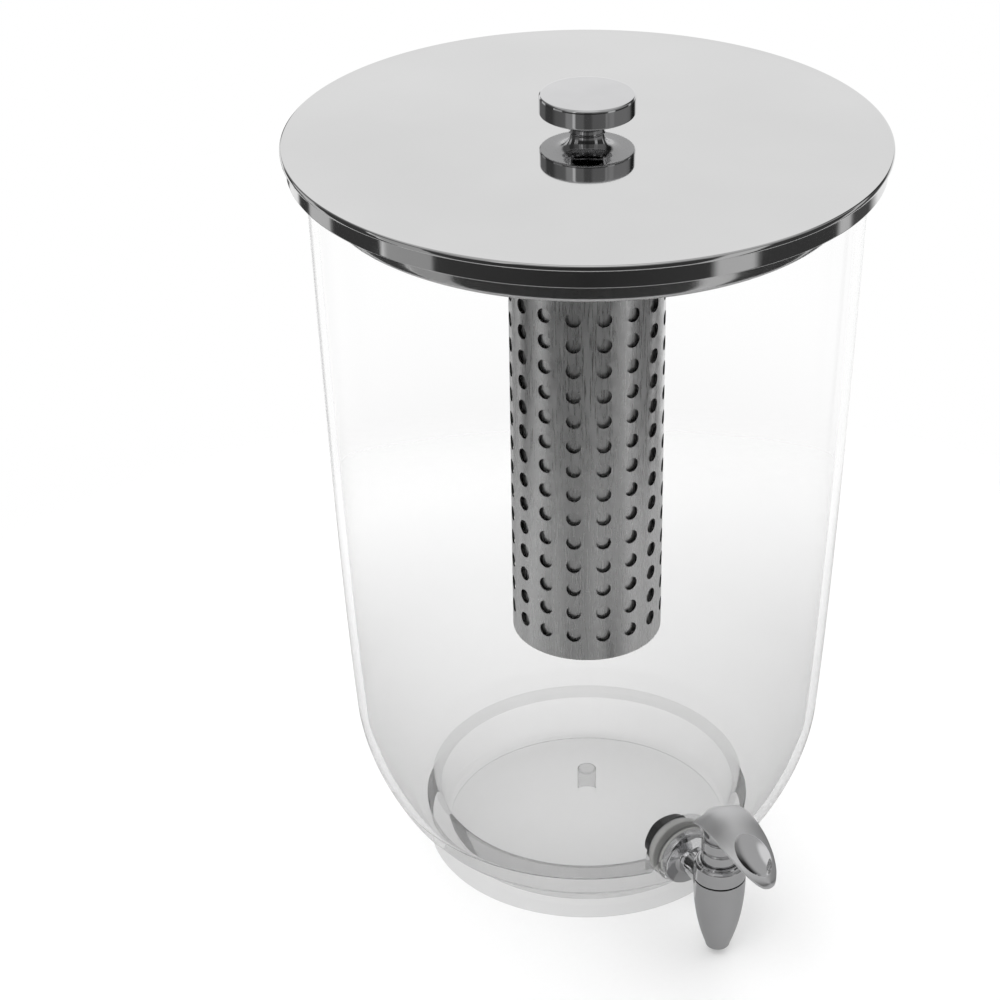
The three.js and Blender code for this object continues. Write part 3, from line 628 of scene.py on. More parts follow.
# Buffed steel sheet gives a clear mirror with a slight haze.
MIRROR_STEEL = Metal("mirror_polished_stainless_steel", "#d5d5d5", "#cfcfcf", 0.035, cloud=0.09, haze=0.03)
# The band under the lid is the same sheet, a little duller from forming.
BAND_STEEL = Metal("polished_stainless_band", "#d4d4d4", "#c8c8c8", 0.05, cloud=0.05)
# Polished steel that is seen through the wall.
PLUG_STEEL = Metal("polished_stainless_ring", "#d0d0d0", "#c4c4c4", 0.1, cloud=0.05)
# Turned and chromed metal gives a sharp, slightly cool mirror.
CHROME = Metal("chromed_brass", "#d0d0d1", "#c8c8c9", 0.035, cloud=0.03, haze=0.02)
# The casting's skin under the plating is not polished, so its shine is soft.
CAST_CHROME = Metal("chromed_zinc_casting", "#dededf", "#d4d4d5", 0.36, cloud=0.02, haze=0.04)
# Plain machined steel gives a soft grey shine.
PLAIN_STEEL = Metal("machined_stainless_steel", "#b0b0b0", "#9a9a9a", 0.28, cloud=0.01)
# Drawn and pickled tube gives long soft upright reflections; broad upright bands of painted reflection in its tone add
# to them.
TUBE_STEEL = DrawnSteel("satin_drawn_stainless_tube", "#e0e0e0", "#b8b8b8")
# The punched hole edges are painted nearly black as painted shade, for the dark crescents in the holes.
PUNCHED_EDGE = Metal("punched_steel_edge", "#4a4a4a", "#343434", 0.6, cloud=0.002)
# Polished polycarbonate is nearly invisible where it is thin; its grey towards the foot is partly the thicker
# moulding's tint and partly painted shade.
CLEAR = ClearPlastic("clear_moulded_polycarbonate", "#ffffff", "#ebebeb", "#dadada", 0.02, 0.24, 0.12)
# The sump's rounded lip and the peg's top edge bend what lies behind them, so the eye gets a grey band there; that band
# is painted into their tint as painted shade.
CLEAR_LIP = ClearPlastic("clear_polycarbonate_rounded_lip", "#ffffff", "#cecece", "#c2c2c2", 0.03, 0.22, 0.12)
# Silicone is pale, soft and a little cloudy.
SILICONE = SoftMoulding("moulded_white_silicone", "#efefee", "#e4e4e3", 0.5)
# The tap's gaskets are the same, in grey.
GREY_SILICONE = SoftMoulding("moulded_grey_silicone", "#c0c0be", "#adadab", 0.5)
# Glass-filled nylon is a matt grey black.
NYLON = SoftMoulding("moulded_black_nylon", "#343434", "#262626", 0.42)
# Nitrile rubber is a dull black.
RUBBER = SoftMoulding("moulded_black_rubber", "#303030", "#242424", 0.6)


@dataclass
class Container:
    """The clear container: foot, sump with a domed floor, shoulder with the tap's seat, wall and rim."""

    foot_radius: float = 70.7 * MM
    foot_top_radius: float = 72 * MM
    foot_ring: float = 9 * MM
    floor_edge: float = 3.2 * MM
    floor_thickness: float = 2.8 * MM
    dome_rise: float = 12.3 * MM
    sump_floor_radius: float = 62.5 * MM
    sump_top_radius: float = 65.2 * MM
    lip_height: float = 26.2 * MM
    lip_rounding: float = 4 * MM
    ledge_radius: float = 78 * MM
    ledge_height: float = 28.6 * MM
    peg_radius: float = 4.1 * MM
    peg_height: float = 13 * MM
    wall: float = 3.5 * MM
    crease_height: float = 17.5 * MM
    crease_radius: float = 77 * MM
    shoulder_radius: float = 84.5 * MM
    shoulder_height: float = 27 * MM
    waist_radius: float = 100.6 * MM
    waist_height: float = 75 * MM
    mouth_radius: float = 110.9 * MM
    rim_radius: float = 114.5 * MM
    rim_top: float = 327 * MM
    rim_thickness: float = 3 * MM
    tap_height: float = 33.5 * MM
    pad_inner: float = 76 * MM
    pad_outer: float = 79.8 * MM
    pocket_radius: float = 13.3 * MM
    alcove_radius: float = 13.1 * MM
    hole_radius: float = 8.6 * MM
    sides: int = 256
    tool_sides: int = 96
    block_sides: int = 128
    arch_steps: int = 47
    shoulder_steps: int = 20
    wall_steps: int = 24
    dome_steps: int = 16
    flange_slope: float = 1.6 * MM
    peg_edge: float = 2.5 * MM
    lip_steps: int = 8
    ledge_steps: int = 8
    corner_steps: int = 6

    def wall_curve(self) -> Outline:
        """Returns the outer wall from the shoulder to the mouth."""
        shoulder = curve([
            (self.shoulder_radius, self.shoulder_height),
            (self.shoulder_radius + 9.61 * MM, self.shoulder_height + 16.5 * MM),
            (self.waist_radius - 0.9 * MM, self.waist_height - 15.5 * MM),
            (self.waist_radius, self.waist_height),
        ], self.shoulder_steps)
        run, rise = self.mouth_radius - self.waist_radius, self.rim_top - self.waist_height
        side = curve([
            (self.waist_radius, self.waist_height),
            (self.waist_radius + run * 0.54, self.waist_height + rise * 0.3),
            (self.mouth_radius, self.rim_top - self.rim_thickness - self.flange_slope),
        ], self.wall_steps)
        return shoulder + side[1:]

    def dome(self, radius: float, edge: float, start: float) -> Outline:
        """Returns a dome's outline from a radius out to its edge.

        Args:
            radius: The dome's own radius.
            edge: The height of its edge.
            start: The radius at which the outline starts.
        """
        spans = [start + (radius - start) * i / self.dome_steps for i in range(self.dome_steps + 1)]
        return [(r, edge + self.dome_rise * (1 - (r / radius) ** 2)) for r in spans]

    def outside(self) -> Outline:
        """Returns the outer outline from the dome under the floor up to the rim."""
        ring = self.foot_radius - self.foot_ring
        corners: list[Corner] = [
            (ring, 0.0, 0.0),
            (self.foot_radius, 0.0, 0.8 * MM),
            (self.foot_top_radius, self.crease_height - 1 * MM, 0.8 * MM),
            (self.crease_radius, self.crease_height, 1.2 * MM),
            (self.shoulder_radius, self.shoulder_height, 0.0),
        ]
        dome = self.dome(ring, self.floor_edge - self.floor_thickness, 0.0)
        return dome + softened(corners)[:-1] + self.wall_curve()

    def rim(self) -> Outline:
        """Returns the rim from under its flange over to the inside of the mouth."""
        low = self.rim_top - self.rim_thickness
        inside = self.mouth_radius - self.wall
        return softened([
            (self.mouth_radius, low - self.flange_slope, 0.0),
            (self.rim_radius - self.flange_slope, low, 0.5 * MM),
            (self.rim_radius, low, 0.8 * MM),
            (self.rim_radius, self.rim_top, 0.8 * MM),
            (inside, self.rim_top, 1.2 * MM),
            (inside, low - 4 * MM, 0.0),
        ])[1:]

    def inside(self) -> Outline:
        """Returns the inner outline from the mouth down to the peg's top."""
        wall = self.wall_curve()
        inset: Outline = []
        for i, (r, z) in enumerate(wall):
            a, b = wall[max(i - 1, 0)], wall[min(i + 1, len(wall) - 1)]
            along = Vector((b[0] - a[0], b[1] - a[1])).normalized()
            inset.append((r - along.y * self.wall, z + along.x * self.wall))
        inset = [p for p in inset if self.ledge_height + 4 * MM < p[1] < self.rim_top - 9 * MM]
        first = inset[0]
        lip = [(self.sump_top_radius + self.lip_rounding * (1 - math.sin(a)),
                self.lip_height - self.lip_rounding * (1 - math.cos(a)))
               for a in (math.pi / 2 * i / self.lip_steps for i in range(self.lip_steps + 1))]
        ledge = curve([
            (self.ledge_radius, self.ledge_height),
            (first[0] - 2.4 * MM, self.ledge_height + 0.4 * MM),
            first,
        ], self.ledge_steps)
        floor = self.dome(self.sump_floor_radius, self.floor_edge, self.peg_radius)
        peg_foot = floor[0][1]
        corner = curve([
            (self.sump_floor_radius + 0.25 * MM, self.floor_edge + 2.2 * MM),
            (self.sump_floor_radius, self.floor_edge),
            (self.sump_floor_radius - 2.4 * MM, self.floor_edge + 0.9 * MM),
        ], self.corner_steps)
        peg = softened([
            (self.peg_radius + 1.2 * MM, peg_foot, 0.0),
            (self.peg_radius, peg_foot, 0.9 * MM),
            (self.peg_radius, peg_foot + self.peg_height, 0.7 * MM),
            (0.0, peg_foot + self.peg_height, 0.0),
        ])
        return inset[::-1] + ledge[::-1][1:] + lip + corner + floor[::-1][2:-2] + peg

    def arch(self) -> Piece:
        """Returns the boss behind the tap's seat: an upright arch, a wall thicker than the pocket."""
        radius, steps = self.pocket_radius + self.wall, self.arch_steps
        outline = [(radius * math.cos(a), self.tap_height + radius * math.sin(a))
                   for a in (math.pi * i / steps for i in range(steps + 1))]
        outline += [(-radius, self.crease_height), (radius, self.crease_height)]
        return prism("boss", outline, self.pad_inner, self.mouth_radius)

    def level_rod(self, radius: float, start: float, end: float) -> Piece:
        """Returns a level cylinder on the tap's arm, between two distances from the container's axis."""
        return rod(radius, start, end, self.tool_sides, Axis.TAP_ARM, (0.0, 0.0, self.tap_height))

    def build(self) -> None:
        """Makes the container and lets it stand for its solid."""
        outline = self.outside() + self.rim() + self.inside()
        filled = self.outside() + [(self.mouth_radius, self.rim_top), (0.0, self.rim_top)]
        boss = carved(self.arch(), [(Cut.KEEP, turned("block", filled, self.block_sides))])
        shell = turned("container_shell", outline, self.sides)
        start = self.sump_floor_radius
        carved(shell, [
            (Cut.JOIN, boss),
            (Cut.REMOVE, self.level_rod(self.alcove_radius, start - self.alcove_radius, self.pad_inner)),
            (Cut.REMOVE, self.level_rod(self.pocket_radius, self.pad_outer, self.mouth_radius + 1.5 * OVERRUN)),
            (Cut.REMOVE, self.level_rod(self.hole_radius, start, self.mouth_radius)),
        ])
        smoothed(shell, 30.0)
        shell.data.materials.clear()
        # The rounded lip and the peg's top edge get the plastic with the painted grey band of shade.
        for finish in (CLEAR, CLEAR_LIP):
            shell.data.materials.append(finish.material())
        for face in shell.data.polygons:
            face.material_index = int(self.is_rounded(face.center))
        dressed(shell, None, "base", ["container"])

    def is_rounded(self, place: Vector) -> bool:
        """Tells whether a place is on the sump's rounded lip or on the peg's top edge, where the grey band is painted
        as shade.
        """
        reach = math.hypot(place.x, place.y)
        across, down = reach - self.sump_top_radius, self.lip_height - place.z
        if 0 < across < self.lip_rounding + 2 * SEAT and -SEAT < down < self.lip_rounding:
            return True
        top = self.floor_edge + self.dome_rise + self.peg_height
        return self.peg_radius - 1 * MM < reach < self.peg_radius + SEAT and place.z > top - self.peg_edge


@dataclass
class Lid:
    """The lid: plate, skirt band, plug ring, seal, knob and the socket for the ice tube."""

    radius: float = 120 * MM
    sheet: float = 1.2 * MM
    edge_drop: float = 2.4 * MM
    edge_width: float = 1.6 * MM
    underside: float = 329.8 * MM
    plate_rise: float = 2.3 * MM
    skirt_radius: float = 118 * MM
    skirt_depth: float = 8.5 * MM
    plug_radius: float = 104.5 * MM
    plug_depth: float = 20.8 * MM
    plug_lip: float = 3 * MM
    knob_radius: float = 19 * MM
    knob_height: float = 15.4 * MM
    knob_disc: float = 8 * MM
    knob_neck: float = 6.8 * MM
    knob_flare: float = 13.4 * MM
    screw_radius: float = 2 * MM
    screw_depth: float = 8 * MM
    gasket_bore: float = 106 * MM
    gasket_radius: float = 114.4 * MM
    gasket_low: float = 327.1 * MM
    gasket_high: float = 329.7 * MM
    flat_edge: float = 3 * MM
    dome_steps: int = 40
    sides: int = 192
    knob_sides: int = 96

    @property
    def top(self) -> float:
        """The height of the plate's upper face."""
        return self.underside + self.sheet

    def plate(self) -> Piece:
        """Returns the plate, slightly domed, with its rounded, turned-down edge."""
        bore, low = self.screw_radius + PLAY, self.top - self.edge_drop
        edge = softened([
            (bore, self.underside, 0.0),
            (self.radius - self.edge_width, self.underside, 0.3 * MM),
            (self.radius - self.edge_width, low, 0.3 * MM),
            (self.radius, low, 1.1 * MM),
            (self.radius, self.top, 1.1 * MM),
            (self.radius - self.flat_edge, self.top, 0.0),
        ])
        flat, steps = self.radius - self.flat_edge, self.dome_steps
        dome = [(bore + (flat - bore) * i / steps, self.top + self.plate_rise * (1 - (i / steps) ** 2))
                for i in range(steps)]
        return turned("lid_plate_sheet", edge + dome[::-1] + [edge[0]], self.sides)

    def skirt(self) -> Piece:
        """Returns the upright band under the plate."""
        inner, low = self.skirt_radius - self.sheet, self.underside - self.skirt_depth
        return turned("lid_skirt_band", softened([
            (inner, low, 0.4 * MM), (self.skirt_radius, low, 0.5 * MM),
            (self.skirt_radius, self.underside, 0.0), (inner, self.underside, 0.0),
        ], closed=True), self.sides)

    def plug(self) -> Piece:
        """Returns the ring that dips into the mouth, with its turned-in lower lip."""
        inner, low = self.plug_radius - self.sheet, self.underside - self.plug_depth
        return turned("lid_plug_band", softened([
            (inner, self.underside, 0.0),
            (inner, low + self.sheet, 2.2 * MM),
            (inner - self.plug_lip, low + self.sheet, 0.4 * MM),
            (inner - self.plug_lip, low, 0.4 * MM),
            (self.plug_radius, low, 3.2 * MM),
            (self.plug_radius, self.underside, 0.0),
        ], closed=True, steps=8), self.sides)

    def knob(self) -> Piece:
        """Returns the knob: a trumpet foot that opens under a flat disc with bright edges."""
        seat, bore = self.top + self.plate_rise, self.screw_radius + PLAY
        top = seat + self.knob_height
        disc = top - self.knob_disc
        flare = curve([(self.knob_neck, seat + 0.6 * MM), (self.knob_neck, disc - 1 * MM), (self.knob_flare, disc)], 18)
        edge = softened([
            (self.knob_flare, disc, 0.0), (self.knob_radius, disc, 0.8 * MM),
            (self.knob_radius, top, 1.3 * MM), (0.0, top, 0.0),
        ])
        foot = softened([
            (0.0, self.top + self.screw_depth, 0.0), (bore, self.top + self.screw_depth, 0.0), (bore, seat, 0.0),
            (self.knob_neck + 0.6 * MM, seat, 0.3 * MM), (self.knob_neck, seat + 0.6 * MM, 0.0),
        ])
        return turned("knob_turning", foot + flare[1:] + edge[1:], self.knob_sides)

    def gasket(self) -> Piece:
        """Returns the flat seal between the rim and the plate."""
        outline = band(self.gasket_bore, self.gasket_radius, self.gasket_low, self.gasket_high, 0.5 * MM)
        return turned("lid_seal", outline, self.sides)

    def build(self) -> None:
        """Makes the lid's pieces and finishes the solids that stay."""
        for piece, finish, name in (
            (self.plate(), MIRROR_STEEL, "lid_plate"), (self.skirt(), BAND_STEEL, "lid_skirt"),
            (self.plug(), PLUG_STEEL, "lid_plug_ring"), (self.gasket(), SILICONE, "lid_gasket"),
            (self.knob(), CHROME, "lid_knob"),
        ):
            dressed(smoothed(piece), finish.material(), "lid", [name])
        plain = PLAIN_STEEL.material()
        for name in ("knob_screw", "knob_washer", "tube_collar"):
            finish_node(name, plain)


@dataclass
class IceTube:
    """The perforated tube that holds ice, its rim, its base and the plain liner behind its holes."""

    radius: float = 31.9 * MM
    sheet: float = 0.7 * MM
    liner_radius: float = 30.3 * MM
    liner_sheet: float = 0.6 * MM
    liner_foot: float = 5.4 * MM
    liner_head: float = 6 * MM
    bottom: float = 107 * MM
    top: float = 314 * MM
    columns: int = 16
    rows: int = 14
    pitch: float = 11.32 * MM
    hole: float = 3.12 * MM
    lowest_hole: float = 12 * MM
    hole_sides: int = 24
    hole_phase: float = 4.0
    weld: float = 0.02 * MM
    rim_bore: float = 29.1 * MM
    rim_top: float = 324.5 * MM
    rim_depth: float = 6 * MM
    lug_root: float = 30 * MM
    lug_reach: float = 34.6 * MM
    lug_low: float = 317.6 * MM
    lug_high: float = 319.4 * MM
    lug_steps: int = 8
    lug_middles: tuple[int, ...] = (-90, 30, 150)
    base_sheet: float = 1.2 * MM
    base_flange: float = 5 * MM
    base_inset: float = 0.4 * MM
    sides: int = 96

    def cell(self) -> Piece:
        """Returns one flat cell of the sheet, a rectangle with a round hole, centred on the origin."""
        half = (math.pi * self.radius / self.columns, self.pitch / 2)
        side = self.hole_sides // 4
        points: list[Corner] = []
        for k in range(self.hole_sides):
            angle = math.pi / 4 + 2 * math.pi * k / self.hole_sides
            points.append((self.hole * math.cos(angle), self.hole * math.sin(angle), 0.0))
        marks = [(1, 1), (-1, 1), (-1, -1), (1, -1)]
        for k in range(self.hole_sides):
            (ax, ay), (bx, by) = marks[k // side], marks[(k // side + 1) % 4]
            t = (k % side) / side
            points.append(((ax + (bx - ax) * t) * half[0], (ay + (by - ay) * t) * half[1], 0.0))
        count = self.hole_sides
        faces = [[k, (k + 1) % count, count + (k + 1) % count, count + k] for k in range(count)]
        return mesh_object("ice_tube_wall", points, faces)

    def lifted(self, tree: Tree, sheet: Socket, middle: Socket) -> Socket:
        """Returns a flat sheet moved up to where its middle has to be."""
        up = node(tree, "ShaderNodeCombineXYZ", {"Y": middle}).outputs[0]
        return node(tree, "GeometryNodeTransform", {"Geometry": sheet, "Translation": up}).outputs[0]

    def tree(self) -> Tree:
        """Returns the node tree that repeats the cell in rows and columns and rolls the sheet into a tube."""
        tree, given = geometry_tree("perforated_tube", {
            "Geometry": ("Cell",), "Int": ("Columns", "Rows", "Steps per Column"),
            "Float": ("Radius", "Pitch", "Bottom", "Top", "Lowest Hole", "Turn"), "Material": ("Finish",),
        })
        radius, pitch = given["Radius"], given["Pitch"]
        # The middles of the holes, spread flat
        around = maths(tree, "MULTIPLY", radius, 2 * math.pi)
        cells_wide = maths(tree, "SUBTRACT", around, maths(tree, "DIVIDE", around, given["Columns"]))
        cells_high = maths(tree, "MULTIPLY", maths(tree, "SUBTRACT", given["Rows"], 1.0), pitch)
        grid = node(tree, "GeometryNodeMeshGrid", {
            "Size X": cells_wide, "Size Y": cells_high, "Vertices X": given["Columns"], "Vertices Y": given["Rows"],
        }).outputs["Mesh"]
        first = maths(tree, "ADD", given["Bottom"], given["Lowest Hole"])
        middle = maths(tree, "MULTIPLY_ADD", cells_high, 0.5, first)
        placed = self.lifted(tree, grid, middle)
        cells = node(tree, "GeometryNodeInstanceOnPoints", {"Points": placed, "Instance": given["Cell"]}).outputs[0]
        cells = node(tree, "GeometryNodeRealizeInstances", {"Geometry": cells}).outputs[0]
        # The plain bands below and above them, with as many steps round as the cells have
        steps = maths(tree, "MULTIPLY_ADD", given["Columns"], given["Steps per Column"], 1.0)
        cells_low = maths(tree, "MULTIPLY_ADD", pitch, -0.5, first)
        holes_high = maths(tree, "MULTIPLY_ADD", pitch, given["Rows"], cells_low)
        bands = []
        for low, high, rings in ((given["Bottom"], cells_low, 2), (holes_high, given["Top"], 8)):
            tall = maths(tree, "SUBTRACT", high, low)
            band = node(tree, "GeometryNodeMeshGrid", {
                "Size X": around, "Size Y": tall, "Vertices X": steps, "Vertices Y": rings,
            }).outputs["Mesh"]
            bands.append(self.lifted(tree, band, maths(tree, "MULTIPLY_ADD", tall, 0.5, low)))
        joined = node(tree, "GeometryNodeJoinGeometry")
        for part in (*bands, cells):
            tree.links.new(part, joined.inputs[0])
        # The flat sheet, rolled up
        place = node(tree, "ShaderNodeSeparateXYZ", {0: node(tree, "GeometryNodeInputPosition").outputs[0]}).outputs
        angle = maths(tree, "ADD", maths(tree, "DIVIDE", place["X"], radius), given["Turn"])
        x = maths(tree, "MULTIPLY", maths(tree, "SINE", angle), radius)
        y = maths(tree, "MULTIPLY", maths(tree, "MULTIPLY", maths(tree, "COSINE", angle), radius), -1.0)
        round_place = node(tree, "ShaderNodeCombineXYZ", {"X": x, "Y": y, "Z": place["Y"]}).outputs[0]
        rolled = node(tree, "GeometryNodeSetPosition", {
            "Geometry": joined.outputs[0], "Position": round_place,
        }).outputs[0]
        welded = node(tree, "GeometryNodeMergeByDistance", {"Geometry": rolled, "Distance": self.weld}).outputs[0]
        return end_tree(tree, welded, given["Finish"])

    def wall(self, finish: Material) -> Piece:
        """Returns the perforated wall, rolled by the node tree and given its thickness inwards.

        Args:
            finish: The wall's material.
        """
        piece = grown(self.cell(), self.tree(), {
            "Columns": self.columns, "Rows": self.rows, "Steps per Column": self.hole_sides // 4, "Finish": finish,
            "Radius": self.radius, "Pitch": self.pitch, "Bottom": self.bottom, "Top": self.top,
            "Lowest Hole": self.lowest_hole, "Turn": math.radians(self.hole_phase - 180 / self.columns),
        })
        work = bmesh.new()
        work.from_mesh(piece.data)
        bmesh.ops.recalc_face_normals(work, faces=work.faces)
        if sum(f.normal.xy.dot(f.calc_center_median().xy) for f in work.faces) < 0:
            bmesh.ops.reverse_faces(work, faces=work.faces)
        work.to_mesh(piece.data)
        work.free()
        piece.data.materials.clear()
        for material in (finish, PUNCHED_EDGE.material()):
            piece.data.materials.append(material)
        # The rims round the holes get the second material, the painted shade.
        skin = piece.modifiers.new("thickness", "SOLIDIFY")
        skin.thickness, skin.offset, skin.material_offset_rim = self.sheet, -1.0, 1
        return applied(piece)

    def liner(self) -> Piece:
        """Returns the plain liner, between the rim and the base."""
        low, high = self.bottom + self.liner_foot, self.top - self.liner_head
        outline = band(self.liner_radius - self.liner_sheet, self.liner_radius, low, high, 0.1 * MM)
        return turned("ice_tube_liner", outline, self.sides)

    def rim(self) -> Piece:
        """Returns the rim's ring, which closes the tube's top edge."""
        inner, spigot, radius = self.rim_bore, self.liner_radius, self.radius
        low, seat, high = self.top - self.rim_depth, self.top + SEAT, self.rim_top
        return turned("ice_tube_rim_ring", softened([
            (inner, low, 0.3 * MM), (spigot, low, 0.3 * MM), (spigot, seat, 0.0),
            (radius, seat, 0.3 * MM), (radius, high, 0.5 * MM), (inner, high, 0.5 * MM),
        ], closed=True), self.sides)

    def lug(self, middle: float) -> Piece:
        """Returns one bayonet lug, with its middle at a direction in degrees."""
        steps, root, reach, low, high = self.lug_steps, self.lug_root, self.lug_reach, self.lug_low, self.lug_high
        corners = ((root, low), (reach, low), (reach, high), (root, high))
        angles = [math.radians(middle - steps + 2 * k) for k in range(steps + 1)]
        points = [(r * math.cos(a), r * math.sin(a), z) for a in angles for r, z in corners]
        faces = [[4 * k + i, 4 * k + (i + 1) % 4, 4 * k + 4 + (i + 1) % 4, 4 * k + 4 + i]
                 for k in range(steps) for i in range(4)]
        faces += [[0, 1, 2, 3], [len(points) - 4 + i for i in range(4)]]
        return mesh_object("lug", points, faces)

    def base(self) -> Piece:
        """Returns the pressed cup that closes the tube's bottom."""
        radius, low, sheet = self.liner_radius, self.bottom + self.base_inset, self.base_sheet
        high = low + self.base_flange
        return turned("ice_tube_base_cup", softened([
            (0.0, low, 0.0), (radius, low, 1.4 * MM), (radius, high, 0.3 * MM),
            (radius - sheet, high, 0.3 * MM), (radius - sheet, low + sheet, 0.6 * MM), (0.0, low + sheet, 0.0),
        ]), self.sides)

    def build(self) -> None:
        """Makes the tube's pieces."""
        steel = TUBE_STEEL.material()
        dressed(smoothed(self.wall(steel), 40.0), None, "ice_insert", ["ice_tube"])
        dressed(smoothed(self.liner()), steel, "ice_insert", ["ice_tube"])
        rim = carved(self.rim(), [(Cut.JOIN, self.lug(middle)) for middle in self.lug_middles])
        dressed(smoothed(rim), steel, "ice_insert", ["ice_tube_rim"])
        dressed(smoothed(self.base()), steel, "ice_insert", ["ice_tube_base"])


@dataclass
class Tap:
    """The tap: casting with nozzle, arm, flange and shank, its union nut, bonnet, gaskets and lock nut."""

    reach: float = 107.2 * MM
    height: float = 33.5 * MM
    tip: float = 3.8 * MM
    seam: float = 39.6 * MM
    radius: float = 10.9 * MM
    tip_radius: float = 5.1 * MM
    spigot_radius: float = 8.9 * MM
    spigot_height: float = 5.5 * MM
    chamber_radius: float = 7.4 * MM
    valve_seat: float = 18 * MM
    outlet_radius: float = 3.9 * MM
    arm_radius: float = 5.7 * MM
    arm_fillet: float = 1.8 * MM
    flange_radius: float = 12.4 * MM
    flange_back: float = 81.5 * MM
    flange_thickness: float = 3 * MM
    shank_radius: float = 8 * MM
    shank_end: float = 63.2 * MM
    shank_bore: float = 4.2 * MM
    pad_outer: float = 79.8 * MM
    pad_inner: float = 76 * MM
    nut_flats: float = 20.6 * MM
    nut_corner: float = 11.1 * MM
    nut_thickness: float = 6.5 * MM
    nut_back: float = 65.5 * MM
    seam_gap: float = 0.7 * MM
    union_height: float = 9.2 * MM
    union_plate: float = 1.8 * MM
    union_step: float = 0.9 * MM
    bonnet_radius: float = 7.9 * MM
    bonnet_height: float = 11 * MM
    bonnet_collar: float = 8.7 * MM
    collar_height: float = 1.6 * MM
    seal_height: float = 3.7 * MM
    stem_bore: float = 2.75 * MM
    seal_radius: float = 4.5 * MM
    sides: int = 96
    tool_sides: int = 64

    @property
    def axis(self) -> Corner:
        """The foot of the tap's upright axis."""
        return 0.0, -self.reach, 0.0

    @property
    def arm(self) -> Corner:
        """The start of the level axis on the container's own axis."""
        return 0.0, 0.0, self.height

    @property
    def union_top(self) -> float:
        """The height of the union nut's upper face."""
        return self.seam + self.union_height

    def rod(self, radius: float, start: float, end: float, axis: Axis = Axis.UPRIGHT) -> Piece:
        """Returns a cylinder on one of the tap's two axes."""
        return rod(radius, start, end, self.tool_sides, axis, self.axis if axis is Axis.UPRIGHT else self.arm)

    def ring(self, name: str, inner: float, outer: float, start: float, end: float) -> Piece:
        """Returns a flat ring on the level axis.

        Args:
            name: The object's name.
            inner: The ring's inner radius.
            outer: Its outer radius.
            start: The nearer face.
            end: The farther face.
        """
        soft = (end - start) * 0.25
        return turned(name, softened([
            (inner, start, 0.0), (outer, start, soft), (outer, end, soft), (inner, end, 0.0),
        ], closed=True), self.sides, Axis.TAP_ARM, self.arm)

    def casting(self) -> Piece:
        """Returns the casting: an ogive nozzle, a level arm that meets it, a flange and a hollow shank."""
        rise = self.seam - self.tip
        nozzle = curve([
            (self.tip_radius, self.tip + 1 * MM),
            (self.tip_radius + (self.radius - self.tip_radius) * 0.62, self.tip + rise * 0.3),
            (self.radius, self.seam - rise * 0.4),
            (self.radius, self.seam - 0.4 * MM),
        ], 32)
        tip = softened([
            (0.0, self.tip, 0.0), (self.tip_radius, self.tip, 1 * MM),
            (self.tip_radius + 0.1 * MM, self.tip + 2 * MM, 0.0),
        ])
        head = softened([
            (self.radius, self.seam - 1 * MM, 0.0), (self.radius, self.seam, 0.2 * MM),
            (self.spigot_radius, self.seam, 0.0), (self.spigot_radius, self.seam + self.spigot_height, 0.0),
            (0.0, self.seam + self.spigot_height, 0.0),
        ])
        body = turned("tap_casting", tip[:-1] + nozzle[1:-1] + head[1:], self.sides, Axis.UPRIGHT, self.axis)
        front = self.flange_back + self.flange_thickness
        neck = curve([
            (self.arm_radius + self.arm_fillet, front), (self.arm_radius + 0.3 * MM, front + 0.3 * MM),
            (self.arm_radius, front + self.arm_fillet),
        ], 6)
        level = softened([
            (0.0, self.shank_end, 0.0), (self.shank_radius, self.shank_end, 0.7 * MM),
            (self.shank_radius, self.flange_back, 0.0), (self.flange_radius, self.flange_back, 0.3 * MM),
            (self.flange_radius, front, 0.9 * MM), (self.arm_radius + self.arm_fillet, front, 0.0),
        ]) + neck[1:] + [(self.arm_radius, self.reach), (0.0, self.reach)]
        arm = turned("level", level, self.sides, Axis.TAP_ARM, self.arm)
        return carved(body, [
            (Cut.JOIN, arm),
            (Cut.REMOVE, self.rod(self.chamber_radius, self.valve_seat, self.seam + 1.5 * OVERRUN)),
            (Cut.REMOVE, self.rod(self.outlet_radius, -OVERRUN, self.valve_seat + SEAT)),
            (Cut.REMOVE, self.rod(self.shank_bore, self.shank_end - OVERRUN, self.reach, Axis.TAP_ARM)),
        ])

    def union_nut(self) -> Piece:
        """Returns the ring over the seam, with two steps round its upper edge."""
        bore, inner = self.spigot_radius + PLAY, self.bonnet_radius + PLAY
        top, step = self.union_top, self.union_step
        return turned("union_ring", softened([
            (bore, self.seam + self.seam_gap, 0.0), (self.radius, self.seam + self.seam_gap, 0.2 * MM),
            (self.radius, top - 2 * step, 0.3 * MM), (self.radius - step, top - step, 0.2 * MM),
            (self.radius - 1.5 * step, top - step, 0.15 * MM), (self.radius - 2 * step, top, 0.25 * MM),
            (inner, top, 0.2 * MM), (inner, top - self.union_plate, 0.0), (bore, top - self.union_plate, 0.0),
        ], closed=True), self.sides, Axis.UPRIGHT, self.axis)

    def bonnet(self) -> Piece:
        """Returns the neck under the lever, with a shallow groove half way up."""
        low, top = self.seam + self.spigot_height + SEAT, self.union_top + self.bonnet_height
        groove = self.union_top + self.bonnet_height / 2
        bore, seal, collar = self.stem_bore, self.seal_radius, self.bonnet_collar
        return turned("bonnet_neck", softened([
            (seal, low, 0.0), (collar, low, 0.0), (collar, low + self.collar_height, 0.0),
            (self.bonnet_radius, low + self.collar_height, 0.0),
            (self.bonnet_radius, groove - 0.7 * MM, 0.3 * MM), (self.bonnet_radius - 0.7 * MM, groove, 0.4 * MM),
            (self.bonnet_radius, groove + 0.7 * MM, 0.3 * MM), (self.bonnet_radius, top, 0.7 * MM),
            (bore, top, 0.2 * MM), (bore, low + self.seal_height, 0.0), (seal, low + self.seal_height, 0.0),
        ], closed=True), self.sides, Axis.UPRIGHT, self.axis)

